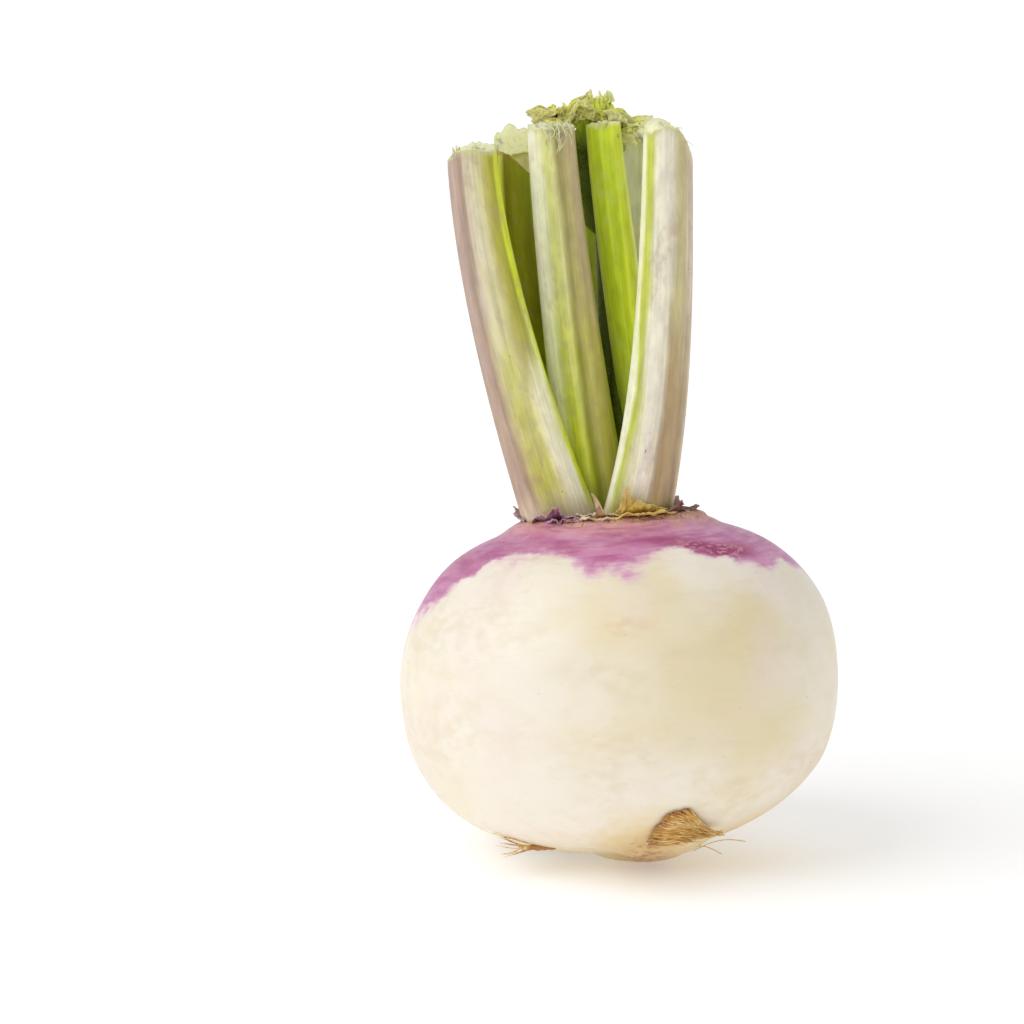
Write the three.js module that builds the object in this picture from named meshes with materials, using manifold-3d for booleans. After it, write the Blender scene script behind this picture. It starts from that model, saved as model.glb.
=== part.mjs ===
// A purple-topped turnip, lifted and trimmed for the kitchen: a squat round root that stands on
// the blunt end of its tap root, the leaf stalks cut off a hand's breadth above the crown, the
// frilled remains of the youngest leaves between them, torn scales left by the old leaves round
// the crown, and the dry rootlets. Millimetres, +Z up, +X to the right and -Y to the front. The
// origin is on the flat spot that the turnip stands on, under the middle of the root.
import * as THREE from "three";
import { mergeVertices } from "three/addons/utils/BufferGeometryUtils.js";
import Module from "manifold-3d";

const wasm = await Module();
wasm.setup();

// Driving dimensions of the swollen root.
const ROOT_RADIUS = 38.1;
const CROWN_HEIGHT = 28.6;
const BELLY_DEPTH = 29.8;
const ROOT_CENTRE_HEIGHT = 30.2;
const LEAN_LEFT = THREE.MathUtils.degToRad(3.5);
const LEAN_BACK = THREE.MathUtils.degToRad(8);
// Roundness of the outline: 2 is an ellipse, and more is fuller in the shoulder.
const SHOULDER_FULLNESS = 2.26;
const SHOULDER_FULLER_RIGHT = 0.12;
const BELLY_FULLNESS = 2.35;
const BELLY_FULLER_RIGHT = -0.05;
// Slow lobes round the root, as shares of its radius.
const LOBES = [
  { count: 3, share: 0.008, turn: 1.1 },
  { count: 2, share: 0.006, turn: 0.4 },
];
const ROOT_SIDES = 48;
const ROOT_RINGS = 26;

// The crown is a low boss in the middle of the top, where the leaves grow.
const CROWN_RADIUS = 14.4;
const CROWN_RISE = 1.7;
const CROWN_EDGE = 3.2;

// Blunt swellings at the bottom: the one it stands on, and the stump of the tap root, which
// turns to the front right and was cut off there.
const SWELLINGS = [
  { towards: [4.4, -3.4, -30], reach: 15, rise: 2.7 },
  { towards: [7.5, -17, -25], reach: 13, rise: 1.6 },
];

// Every piece is this far from the next one.
const GAP = 0.3;
// Leaves and scales start this far under the crown's skin, and are cut off where it is.
const SUNK = 2;
// Wider than the turnip.
const ROOM = 400;
const SCALE_THICKNESS = 0.7;
const FRILL_THICKNESS = 0.7;

const STALK_COLUMNS = 10;
const STALK_ROWS = 9;
const MARGIN_THICKNESS = 0.35;
const RIDGES = 3;
const RIDGE_HEIGHT = 0.22;

// Leaf stalks. foot and tip are places in millimetres, the foot measured from the middle of the
// crown. faces is the way that the rounded back of the stalk looks, in degrees from +X. flare
// over 1 makes it leave the crown more steeply than it ends. width, back and channel give the
// size at the foot and at the tip, curl is the half angle that the channel bends round, and cut
// is the slope of the knife cut across, through, and its rounding.
const STALKS = {
  stalk_front_left: {
    foot: [-8.4, -5.6], tip: [-25.6, -7.5, 124.9], faces: [-118, -118], flare: 1.5,
    width: [13.6, 8.0], back: [3.0, 2.7], channel: [1.2, 1.4], curl: [48, 42], cut: [-0.18, 0.2, 0.09],
  },
  stalk_front_right: {
    foot: [4.5, -8.0], tip: [8.1, -8.0, 128.6], faces: [-66, -58], flare: 3.2,
    width: [11.9, 8.0], back: [3.0, 2.7], channel: [1.2, 1.2], curl: [50, 46], cut: [0.62, 0.3, 0.21],
  },
  stalk_centre: {
    foot: [-1.8, -1.8], tip: [-11.9, 0.0, 127.3], faces: [-92, -92], flare: 1.25,
    width: [11.6, 7.2], back: [2.9, 2.7], channel: [1.4, 1.6], curl: [40, 36], cut: [0, 0.1, 0],
  },
  stalk_left: {
    foot: [-8.8, 2.4], tip: [-19.0, 4.4, 121.4], faces: [150, 128], flare: 1.5,
    width: [10.4, 7.4], back: [2.6, 2.0], channel: [0.9, 0.7], curl: [46, 46], cut: [-0.72, 0, 0.1],
  },
  stalk_back_left: {
    foot: [-4.6, 7.2], tip: [-18.0, 13.6, 122.5], faces: [122, 116], flare: 1.5,
    width: [9.6, 7.4], back: [2.6, 2.4], channel: [0.9, 1.2], curl: [44, 30], cut: [0.1, -1.3, 0],
  },
  stalk_right: {
    foot: [8.6, 0.2], tip: [-3.0, 4.4, 127.3], faces: [20, 62], flare: 1.15,
    width: [9.8, 6.0], back: [2.6, 2.2], channel: [1.3, 1.4], curl: [40, 24], cut: [0.1, 0.1, 0],
  },
  stalk_back_right: {
    foot: [5.8, 7.0], tip: [3.8, 14.2, 124.2], faces: [52, 66], flare: 1.4,
    width: [9.2, 6.6], back: [2.6, 2.3], channel: [0.9, 1.2], curl: [44, 34], cut: [-0.1, -0.4, 0],
  },
  stalk_back: {
    foot: [0.6, 9.8], tip: [-5.2, 21.0, 117.0], faces: [86, 92], flare: 1.6,
    width: [8.8, 6.8], back: [2.6, 2.4], channel: [0.9, 1.1], curl: [44, 36], cut: [0.15, -0.3, 0.02],
  },
};

// The youngest leaves, in the heart of the crown: a slim stem with frilled lobes up both sides
// of its top, cut off with the rest.
const YOUNG_STEM_SIDES = 8;
const FRILL_COLUMNS = 13;
const FRILL_ROWS = 3;
// A frill starts inside the stem, its lobes are cut this deep, and its edge rises and ripples.
const STEM_INSIDE = 0.4;
const LOBE_DEPTH = 0.28;
const FRILL_SWELL = [0.14, 0.86];
const FRILL_LIFT = 1.6;
const FRILL_RIPPLE = 0.9;
const YOUNG_LEAVES = {
  young_leaf_left: {
    foot: [-2.9, 3.4], tip: [-9.6, 6.4, 128.5], stem: 1.7,
    frills: [
      { from: 108, to: 129.5, way: 195, reach: 4.2, waves: 3.1, swing: 1.5, phase: 0.4 },
      { from: 110, to: 129.0, way: 60, reach: 3.6, waves: 2.6, swing: 1.3, phase: 2.1 },
    ],
  },
  young_leaf_middle: {
    foot: [1.1, 5.0], tip: [-3.6, 10.4, 128.6], stem: 1.5,
    frills: [
      { from: 107, to: 129.3, way: 178, reach: 3.9, waves: 3.4, swing: 1.4, phase: 1.2 },
      { from: 106, to: 128.3, way: 38, reach: 4.3, waves: 3.0, swing: 1.5, phase: 3.0 },
    ],
  },
  young_leaf_right: {
    foot: [2.6, 2.8], tip: [-1.2, 8.8, 124.8], stem: 1.4,
    frills: [
      { from: 105, to: 126.6, way: 12, reach: 3.4, waves: 2.8, swing: 1.2, phase: 0.9 },
    ],
  },
};

// Torn scales round the crown: the middle and the spread in degrees from +X, the radii of the
// foot and of the edge, the height between the teeth, and each tooth of the torn edge as its
// place from 0 to 1, its rise and its breadth.
const SCALE_COLUMNS = 12;
const SCALE_ROWS = 2;
const SCALES = {
  scale_front_purple: {
    middle: -129, spread: 42, foot: 14.5, edge: 15.3, low: 1.5,
    teeth: [[0.2, 0.7, 0.08], [0.56, 1.8, 0.12], [0.86, 0.5, 0.07]],
  },
  scale_front_curl: {
    middle: -98, spread: 25, foot: 14.3, edge: 14.4, low: 1.5, papery: true,
    teeth: [[0.55, 2.9, 0.13]],
  },
  scale_front_papery: {
    middle: -67, spread: 44, foot: 13.3, edge: 14.1, low: 2.2, papery: true,
    teeth: [[0.24, 3.4, 0.09], [0.46, 1.2, 0.14]],
  },
  scale_front_right: {
    middle: -41, spread: 24, foot: 14.6, edge: 15.0, low: 0.9,
    teeth: [[0.5, 1.4, 0.2]],
  },
  scale_right: {
    middle: -2, spread: 42, foot: 14.6, edge: 15.4, low: 0.5,
    teeth: [[0.24, 0.6, 0.1], [0.56, 0.3, 0.08], [0.84, 0.5, 0.07]],
  },
  scale_back_right: {
    middle: 54, spread: 46, foot: 14.2, edge: 15.3, low: 1.7,
    teeth: [[0.3, 1.1, 0.11], [0.72, 1.4, 0.12]],
  },
  scale_back_left: {
    middle: 108, spread: 52, foot: 14.4, edge: 15.5, low: 1.4, papery: true,
    teeth: [[0.2, 0.9, 0.09], [0.52, 1.7, 0.12], [0.86, 0.8, 0.07]],
  },
  scale_left: {
    middle: 170, spread: 60, foot: 14.3, edge: 15.4, low: 1.5,
    teeth: [[0.34, 1.9, 0.12], [0.76, 1.1, 0.1]],
  },
};

// Dry fibres of the tap root, torn off at the front right. They fan over the skin from a line
// between top and low towards tip, which are ways out of the middle of the root.
const FIBRE_SIDES = 3;
const FIBRE_STEPS = 6;
const PAD_COLUMNS = 6;
const PAD_ROWS = 4;
const TAP_ROOT_FIBRES = {
  top: [9.0, -31, -16.5], low: [4.2, -20.5, -25.5], tip: [14.6, -21.5, -25.5],
  pad: { reach: 0.55, under: 0.1, over: [0.9, 0.54] },
  count: 12, start: 0.12, reach: [0.7, 1.12], lift: [0.5, 1.6], thick: [0.5, 0.16], seed: 11,
};

// A wisp of rootlets that grows from the left of the underside and lies out to the left.
const SIDE_ROOTLETS = {
  from: [-11.6, -18.6, 4.6], to: [-22.4, -18.6, 5.0], bundle: 6.2, girth: [0.55, 0.95],
  count: 6, start: 3.4, shortest: 0.72, fan: [0.4, 1.7], thick: [0.34, 0.13], seed: 5,
};
const BUNDLE_SIDES = 6;

const SKIN_WHITE = 0xf0ead6;
const STALK_GREEN = 0xc9cf8a;
const YOUNG_GREEN = 0xa5c331;
const SCALE_PURPLE = 0x6d3a5e;
const PAPER_TAN = 0xd9b866;
const ROOTLET_TAN = 0xb98a4a;

const matte = (color, roughness) =>
  new THREE.MeshStandardMaterial({ color, roughness, metalness: 0 });

const mix = (pair, t) => pair[0] + (pair[1] - pair[0]) * t;
const smooth = (x) => THREE.MathUtils.smoothstep(x, 0, 1);
const power = (x, e) => Math.sign(x) * Math.abs(x) ** e;

// The same draws each run.
function draws(seed) {
  let state = seed;
  return () => {
    state = (state * 16807) % 2147483647;
    return state / 2147483647;
  };
}

// A closed surface whose shared corners are merged, with its faces pointing out.
function closed(geometry) {
  for (const name of ["normal", "uv"]) geometry.deleteAttribute(name);
  const merged = mergeVertices(geometry, 1e-3);
  const place = merged.attributes.position;
  const [a, b, c] = [0, 0, 0].map(() => new THREE.Vector3());
  let volume = 0;
  for (let i = 0; i < merged.index.count; i += 3) {
    [a, b, c].forEach((v, k) => v.fromBufferAttribute(place, merged.index.getX(i + k)));
    volume += a.dot(b.cross(c));
  }
  if (volume < 0) merged.index.array.reverse();
  return merged;
}

function solid(geometry) {
  const made = closed(geometry);
  return new wasm.Manifold(
    new wasm.Mesh({
      numProp: 3,
      vertProperties: new Float32Array(made.attributes.position.array),
      triVerts: new Uint32Array(made.index.array),
    }),
  );
}

// The biggest body of a solid, as geometry for a mesh. What a cut leaves loose is dropped.
function geometryOf(made) {
  const biggest = made.decompose().reduce((a, b) => (b.volume() > a.volume() ? b : a));
  const mesh = biggest.getMesh();
  return new THREE.BufferGeometry()
    .setAttribute("position", new THREE.BufferAttribute(new Float32Array(mesh.vertProperties), 3))
    .setIndex(new THREE.BufferAttribute(new Uint32Array(mesh.triVerts), 1));
}

// Moves every corner of a geometry to where the rule puts it.
function shaped(geometry, rule) {
  const place = geometry.attributes.position;
  const v = new THREE.Vector3();
  for (let i = 0; i < place.count; i++) {
    v.fromBufferAttribute(place, i);
    place.setXYZ(i, ...rule(v).toArray());
  }
  return geometry;
}

// A closed slab between two faces that are split into triangles alike. front and rear give a
// point for u and v from 0 to 1.
function slab(columns, rows, front, rear) {
  const net = new THREE.PlaneGeometry(1, 1, columns, rows);
  const flat = net.attributes.position;
  const count = flat.count;
  const points = [];
  for (const face of [front, rear])
    for (let i = 0; i < count; i++)
      points.push(...face(flat.getX(i) + 0.5, flat.getY(i) + 0.5).toArray());
  const index = [...net.index.array];
  for (let i = 0; i < net.index.count; i += 3)
    index.push(...[2, 1, 0].map((k) => net.index.getX(i + k) + count));
  const rim = [];
  for (let c = 0; c < columns; c++) rim.push(c);
  for (let r = 0; r < rows; r++) rim.push(r * (columns + 1) + columns);
  for (let c = columns; c > 0; c--) rim.push(rows * (columns + 1) + c);
  for (let r = rows; r > 0; r--) rim.push(r * (columns + 1));
  rim.forEach((here, i) => {
    const next = rim[(i + 1) % rim.length];
    index.push(here, next, here + count, next, next + count, here + count);
  });
  return new THREE.BufferGeometry()
    .setAttribute("position", new THREE.Float32BufferAttribute(points, 3))
    .setIndex(index);
}

// From the root's own upright frame to the way it stands, leaning left and back.
const lean = new THREE.Matrix4()
  .makeTranslation(0, 0, ROOT_CENTRE_HEIGHT)
  .multiply(new THREE.Matrix4().makeRotationY(-LEAN_LEFT))
  .multiply(new THREE.Matrix4().makeRotationX(-LEAN_BACK));
const rootCentre = new THREE.Vector3().applyMatrix4(lean);
const crownMiddle = new THREE.Vector3(0, 0, CROWN_HEIGHT).applyMatrix4(lean);

// Height of the root's top at a radius from its own axis, the crown's boss with it.
function topHeight(radius, azimuth) {
  const fullness = SHOULDER_FULLNESS + SHOULDER_FULLER_RIGHT * Math.cos(azimuth);
  const dome = (1 - Math.min(1, radius / ROOT_RADIUS) ** fullness) ** (1 / fullness);
  return CROWN_HEIGHT * dome + crownRise(radius);
}

function crownRise(radius) {
  return CROWN_RISE * smooth((CROWN_RADIUS + CROWN_EDGE - radius) / CROWN_EDGE);
}

// The root's surface in a direction, with grow added all round.
function rootPoint(direction, grow = 0) {
  const azimuth = Math.atan2(direction.y, direction.x);
  const level = Math.hypot(direction.x, direction.y);
  const upper = direction.z > 0;
  const fullness = upper
    ? SHOULDER_FULLNESS + SHOULDER_FULLER_RIGHT * Math.cos(azimuth)
    : BELLY_FULLNESS + BELLY_FULLER_RIGHT * Math.cos(azimuth);
  const lobes = LOBES.map(({ count, share, turn }) => share * Math.cos(count * azimuth + turn));
  const lobe = lobes.reduce((sum, one) => sum + one);
  const radius = ROOT_RADIUS * power(level, 2 / fullness);
  const round = (radius + grow) * (1 + lobe * level);
  const height = ((upper ? CROWN_HEIGHT : BELLY_DEPTH) + grow) * power(direction.z, 2 / fullness);
  const point = new THREE.Vector3(
    round * Math.cos(azimuth),
    round * Math.sin(azimuth),
    height + (upper ? crownRise(radius) : 0),
  ).applyMatrix4(lean);
  const way = point.clone().sub(rootCentre).normalize();
  for (const { towards, reach, rise } of SWELLINGS) {
    const off = THREE.MathUtils.radToDeg(way.angleTo(new THREE.Vector3(...towards)));
    point.addScaledVector(way, rise * Math.exp(-((off / reach) ** 4)));
  }
  return point;
}

function rootSolid(grow = 0) {
  const sphere = new THREE.SphereGeometry(1, ROOT_SIDES, ROOT_RINGS).rotateX(Math.PI / 2);
  return solid(shaped(sphere, (v) => rootPoint(v.normalize(), grow)));
}

// The piece above the floor.
function aboveFloor(made) {
  const room = new THREE.BoxGeometry(ROOM, ROOM, ROOM).translate(0, 0, ROOM / 2);
  return made.intersect(solid(room));
}

// The middle line of a stalk and the ways across it and out of its back.
function stalkFrame(stalk, t) {
  const start = crownMiddle.clone().add(new THREE.Vector3(...stalk.foot, -SUNK));
  const end = new THREE.Vector3(...stalk.tip);
  const left = Math.max(0, 1 - t);
  const drift = 1 - left ** stalk.flare;
  const slope = stalk.flare * left ** (stalk.flare - 1);
  const step = end.clone().sub(start);
  const middle = start.clone().add(new THREE.Vector3(step.x * drift, step.y * drift, step.z * t));
  const along = new THREE.Vector3(step.x * slope, step.y * slope, step.z).normalize();
  const angle = THREE.MathUtils.degToRad(mix(stalk.faces, t));
  const out = new THREE.Vector3(Math.cos(angle), Math.sin(angle), 0);
  out.addScaledVector(along, -out.dot(along)).normalize();
  const across = along.clone().cross(out);
  return { middle, across, out, length: step.length() };
}

// A point on a stalk: s goes across from -1 to 1, t up from 0 to 1, and side is 1 on the
// rounded back and -1 in the channel.
function stalkPoint(stalk, s, t, side, grow = 0) {
  const half = mix(stalk.width, t ** 0.7) / 2 + grow;
  const curl = THREE.MathUtils.degToRad(mix(stalk.curl, t));
  const radius = half / Math.sin(curl);
  const body = Math.sqrt(Math.max(0, 1 - s * s));
  const ridges = side > 0 ? RIDGE_HEIGHT * Math.cos(RIDGES * Math.PI * s) * body : 0;
  const deep = mix(side > 0 ? stalk.back : stalk.channel, t);
  const thick = MARGIN_THICKNESS + (deep - MARGIN_THICKNESS) * body + ridges + grow;
  const angle = s * curl;
  const x = (radius + side * thick) * Math.sin(angle);
  const y = (radius + side * thick) * Math.cos(angle) - radius;
  const { length } = stalkFrame(stalk, 1);
  const [across, through, rounding] = stalk.cut;
  const short = (across * x + through * y + rounding * x * x) / length;
  const { middle, across: sideways, out } = stalkFrame(stalk, t * (1 - short + grow / length));
  return middle.addScaledVector(sideways, x).addScaledVector(out, y);
}

function stalkSolid(stalk, grow = 0) {
  const face = (side) => (u, v) =>
    stalkPoint(stalk, Math.sin(Math.PI * (u - 0.5)), v, side, grow);
  return solid(slab(STALK_COLUMNS, STALK_ROWS, face(1), face(-1)));
}

// A point on the middle line of a young leaf's stem, at a share of its length.
function stemMiddle(leaf, t) {
  const start = crownMiddle.clone().add(new THREE.Vector3(...leaf.foot, -SUNK));
  return start.lerp(new THREE.Vector3(...leaf.tip), t);
}

function stemSolid(leaf, grow = 0) {
  const tube = new THREE.CylinderGeometry(1, 1, 1, YOUNG_STEM_SIDES, 4);
  return solid(
    shaped(tube, (v) => {
      const t = v.y + 0.5;
      const radius = leaf.stem * (1.15 - 0.3 * t) + grow;
      return stemMiddle(leaf, t).add(new THREE.Vector3(v.x * radius, -v.z * radius, grow * (2 * t - 1)));
    }),
  );
}

// A frill: a thin blade that leaves the stem at its side and waves more towards its lobed edge.
function frillSolid(leaf, frill, grow = 0) {
  const foot = stemMiddle(leaf, 0).z;
  const share = (z) => (z - foot) / (leaf.tip[2] - foot);
  const angle = THREE.MathUtils.degToRad(frill.way);
  const out = new THREE.Vector3(Math.cos(angle), Math.sin(angle), 0);
  const across = new THREE.Vector3(-out.y, out.x, 0);
  const wave = (u, waves) => 2 * Math.PI * (waves * u + frill.phase);
  const face = (side) => (u, v) => {
    const lobed = 1 - LOBE_DEPTH * (1 - Math.cos(wave(u, 2 * frill.waves)));
    const swell = Math.sin(Math.PI * mix(FRILL_SWELL, u)) ** 0.8;
    const reach = leaf.stem * STEM_INSIDE + (frill.reach * lobed * swell + grow) * v;
    const half = FRILL_THICKNESS / 2 + grow;
    const swing = frill.swing * v ** 1.4 * Math.sin(wave(u, frill.waves)) + side * half;
    const lift = FRILL_LIFT * v * v + FRILL_RIPPLE * v * Math.cos(wave(u, frill.waves));
    return stemMiddle(leaf, share(mix([frill.from, frill.to], u)))
      .addScaledVector(out, reach)
      .addScaledVector(across, swing)
      .add(new THREE.Vector3(0, 0, lift));
  };
  return solid(slab(FRILL_COLUMNS, FRILL_ROWS, face(1), face(-1)));
}

function youngLeafSolid(leaf, grow = 0) {
  const frills = leaf.frills.map((frill) => frillSolid(leaf, frill, grow));
  return frills.reduce((made, frill) => made.add(frill), stemSolid(leaf, grow));
}

// A torn scale standing on the edge of the crown's boss, its foot sunk in the skin.
function scaleSolid(scale) {
  const tooth = (u, [at, rise, breadth]) => rise * Math.exp(-(((u - at) / breadth) ** 2));
  const torn = (u) => scale.teeth.reduce((height, one) => height + tooth(u, one), scale.low);
  const face = (side) => (u, v) => {
    const azimuth = THREE.MathUtils.degToRad(scale.middle + scale.spread * (u - 0.5));
    const height = torn(u) * Math.sin(Math.PI * (0.05 + 0.9 * u)) ** 0.5;
    const radius = mix([scale.foot, scale.edge], v ** 1.5) + (side * SCALE_THICKNESS) / 2;
    return new THREE.Vector3(
      radius * Math.cos(azimuth),
      radius * Math.sin(azimuth),
      topHeight(scale.foot, azimuth) - SUNK + (height + SUNK) * v,
    ).applyMatrix4(lean);
  };
  return solid(slab(SCALE_COLUMNS, SCALE_ROWS, face(1), face(-1)));
}

// A thin tube along a path. path gives a point, and girth a radius, for each t from 0 to 1.
function thinTube(path, girth, sides, steps) {
  const tube = new THREE.CylinderGeometry(1, 1, 1, sides, steps);
  const near = 0.5 / steps;
  return solid(
    shaped(tube, (v) => {
      const t = v.y + 0.5;
      const along = path(Math.min(1, t + near)).sub(path(Math.max(0, t - near))).normalize();
      const side = new THREE.Vector3(0, 0, 1).cross(along).normalize();
      const up = along.clone().cross(side);
      const radius = girth(t);
      return path(t).addScaledVector(side, v.x * radius).addScaledVector(up, v.z * radius);
    }),
  );
}

// A pad on the skin, with fibres that start in it and lift off towards their ends.
function tapRootFibres(tuft) {
  const [top, low, tip] = [tuft.top, tuft.low, tuft.tip].map((way) => new THREE.Vector3(...way));
  const upright = new THREE.Matrix4().extractRotation(lean).invert();
  const over = (u, v, lift) => {
    const way = low.clone().lerp(top, u).lerp(tip, v).normalize();
    return rootPoint(way.applyMatrix4(upright), GAP + lift);
  };
  const { pad } = tuft;
  const face = (lift) => (u, v) => over(u, pad.reach * v, lift(v));
  let made = solid(slab(PAD_COLUMNS, PAD_ROWS, face((v) => mix(pad.over, v)), face(() => pad.under)));
  const draw = draws(tuft.seed);
  for (let i = 0; i < tuft.count; i++) {
    const row = (i + 0.3 + 0.4 * draw()) / tuft.count;
    const reach = [tuft.start, mix(tuft.reach, draw())];
    const lift = mix([0, tuft.lift[1]], draw());
    const path = (t) => over(row, mix(reach, t), tuft.lift[0] + lift * t * t);
    made = made.add(thinTube(path, (t) => mix(tuft.thick, t), FIBRE_SIDES, FIBRE_STEPS));
  }
  return made;
}

// A short spindle, with thin ends that part from its tip.
function sideRootlets(wisp) {
  const [from, to] = [wisp.from, wisp.to].map((at) => new THREE.Vector3(...at));
  const share = (length) => length / from.distanceTo(to);
  const along = (t) => from.clone().lerp(to, t);
  const spindle = (t) => mix(wisp.girth, Math.sin(Math.PI * t));
  let made = thinTube((t) => along(share(wisp.bundle) * t), spindle, BUNDLE_SIDES, FIBRE_STEPS);
  const draw = draws(wisp.seed);
  for (let i = 0; i < wisp.count; i++) {
    const turn = (2 * Math.PI * (i + 0.5 * draw())) / wisp.count;
    const off = new THREE.Vector3(0, Math.cos(turn), Math.sin(turn));
    const reach = [share(wisp.start), mix([wisp.shortest, 1], draw())];
    const path = (t) => along(mix(reach, t)).addScaledVector(off, mix(wisp.fan, t * t));
    made = made.add(thinTube(path, (t) => mix(wisp.thick, t), FIBRE_SIDES, FIBRE_STEPS));
  }
  return made;
}

const turnip = new THREE.Group();

function place(name, made, material) {
  const mesh = new THREE.Mesh(geometryOf(made), material);
  mesh.name = name;
  turnip.add(mesh);
}

// Each piece is cut back by what stands already, grown by the gap.
const taken = [rootSolid(GAP)];
const cleared = (made) => taken.reduce((left, other) => left.subtract(other), made);

place("root", aboveFloor(rootSolid()), matte(SKIN_WHITE, 0.45));

const stalkSkin = matte(STALK_GREEN, 0.4);
for (const [name, stalk] of Object.entries(STALKS)) {
  place(name, cleared(stalkSolid(stalk)), stalkSkin);
  taken.push(stalkSolid(stalk, GAP));
}

const youngSkin = matte(YOUNG_GREEN, 0.5);
for (const [name, leaf] of Object.entries(YOUNG_LEAVES)) {
  place(name, cleared(youngLeafSolid(leaf)), youngSkin);
  taken.push(youngLeafSolid(leaf, GAP));
}

const purpleScale = matte(SCALE_PURPLE, 0.5);
const paperScale = matte(PAPER_TAN, 0.7);
for (const [name, scale] of Object.entries(SCALES)) {
  place(name, cleared(scaleSolid(scale)), scale.papery ? paperScale : purpleScale);
  taken.push(scaleSolid(scale));
}

const rootletSkin = matte(ROOTLET_TAN, 0.8);
place("tap_root_fibres", cleared(tapRootFibres(TAP_ROOT_FIBRES)), rootletSkin);
place("side_rootlets", cleared(sideRootlets(SIDE_ROOTLETS)), rootletSkin);

export default turnip;
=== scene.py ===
"""The looks of a purple-topped turnip: a cream root with a streaked purple shoulder, trimmed leaf
stalks, the frilled remains of the youngest leaves, torn scales round the crown and dry rootlets.
Lengths are in millimetres until a piece is finished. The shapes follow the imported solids, whose
driving dimensions are repeated here."""

import random
from math import acos, atan2, copysign, cos, degrees, exp, hypot, pi, radians, sin, sqrt

import bmesh
import bpy
from mathutils import Matrix, Vector, noise


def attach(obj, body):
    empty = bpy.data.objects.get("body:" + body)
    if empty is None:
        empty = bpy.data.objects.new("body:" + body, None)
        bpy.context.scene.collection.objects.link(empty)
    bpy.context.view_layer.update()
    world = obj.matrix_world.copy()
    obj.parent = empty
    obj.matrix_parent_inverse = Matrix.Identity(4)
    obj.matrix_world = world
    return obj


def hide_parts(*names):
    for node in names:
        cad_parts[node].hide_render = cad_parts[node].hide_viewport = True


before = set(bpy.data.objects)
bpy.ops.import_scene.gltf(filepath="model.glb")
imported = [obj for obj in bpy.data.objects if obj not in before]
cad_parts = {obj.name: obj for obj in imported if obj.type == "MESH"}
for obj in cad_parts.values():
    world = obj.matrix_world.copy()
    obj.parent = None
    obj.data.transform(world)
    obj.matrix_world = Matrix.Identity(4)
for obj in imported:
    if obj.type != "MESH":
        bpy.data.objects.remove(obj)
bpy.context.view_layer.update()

MM = 0.001
UP = Vector((0, 0, 1))
# Edges that turn by more than this are drawn sharp.
SHARP_FROM = radians(55)

# The swollen root, as in the solids.
ROOT_RADIUS = 38.1
CROWN_HEIGHT = 28.6
BELLY_DEPTH = 29.8
ROOT_CENTRE_HEIGHT = 30.2
LEAN_LEFT = radians(3.5)
LEAN_BACK = radians(8)
SHOULDER_FULLNESS = 2.26
SHOULDER_FULLER_RIGHT = 0.12
BELLY_FULLNESS = 2.35
BELLY_FULLER_RIGHT = -0.05
# Slow lobes round the root: how many, their share of the radius, and their turn.
LOBES = [(3, 0.008, 1.1), (2, 0.006, 0.4)]
CROWN_RADIUS = 14.4
CROWN_RISE = 1.7
CROWN_EDGE = 5.5
# The shoulder swells between crown and belly: degrees from the crown, reach and rise to the right
# and to the left.
SHOULDER_SWELL = (38, 17, 0.6, 1.25)
# Blunt swellings under the root: the way out of its middle, the reach in degrees and the rise.
SWELLINGS = [((4.4, -3.4, -30), 15, 2.7), ((7.5, -17, -25), 13, 1.6)]

LEAN = (
    Matrix.Translation((0, 0, ROOT_CENTRE_HEIGHT))
    @ Matrix.Rotation(-LEAN_LEFT, 4, "Y")
    @ Matrix.Rotation(-LEAN_BACK, 4, "X")
)
UPRIGHT = LEAN.to_3x3().inverted()
ROOT_CENTRE = LEAN @ Vector((0, 0, 0))
CROWN_MIDDLE = LEAN @ Vector((0, 0, CROWN_HEIGHT))

# How far the stalks and scales go down into the crown, and what lies on the skin stays off it.
SUNK = 2
GAP = 0.3
MARGIN_THICKNESS = 0.35
FRILL_THICKNESS = (0.7, 0.3)
RIDGES = 3
RIDGE_HEIGHT = 0.22
STEM_INSIDE = 0.4
FRILL_SWELL = (0.14, 0.86)
FRILL_LIFT = 1.6
FRILL_RIPPLE = 0.9


def mix(pair, t):
    return pair[0] + (pair[1] - pair[0]) * t


def smooth(x):
    x = min(1, max(0, x))
    return x * x * (3 - 2 * x)


def power(x, exponent):
    return copysign(abs(x) ** exponent, x)


def bump(x, middle, width, steepness=2):
    """1 at the middle, falling to almost nothing past its width. Steeper makes its top flatter."""
    return exp(-(abs((x - middle) / width) ** steepness))


def turned(azimuth):
    return Vector((cos(radians(azimuth)), sin(radians(azimuth)), 0))


def ripple(x, y, z):
    return noise.noise(Vector((x, y, z)))


# Shapes to start from. Each is made once, and every piece copies and reshapes it.


def meshed(bm, name):
    mesh = bpy.data.meshes.new(name)
    bm.to_mesh(mesh)
    bm.free()
    return mesh


def rod(sides, steps, cap_rings=0):
    """An upright rod of radius 1 and height 1, with rings of faces on its upper end."""
    bm = bmesh.new()
    bmesh.ops.create_cone(bm, cap_ends=True, segments=sides, radius1=1, radius2=1, depth=1)
    uprights = [e for e in bm.edges if abs(e.verts[0].co.z - e.verts[1].co.z) > 0.5]
    bmesh.ops.subdivide_edges(bm, edges=uprights, cuts=steps - 1)
    caps = [f for f in bm.faces if abs(f.normal.z) > 0.5]
    upper = max(caps, key=lambda f: f.calc_center_median().z)
    for _ in range(cap_rings):
        bmesh.ops.inset_region(bm, faces=[upper], thickness=1 / (cap_rings + 1), use_even_offset=True)
    bmesh.ops.poke(bm, faces=caps)
    return meshed(bm, "rod")


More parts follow.
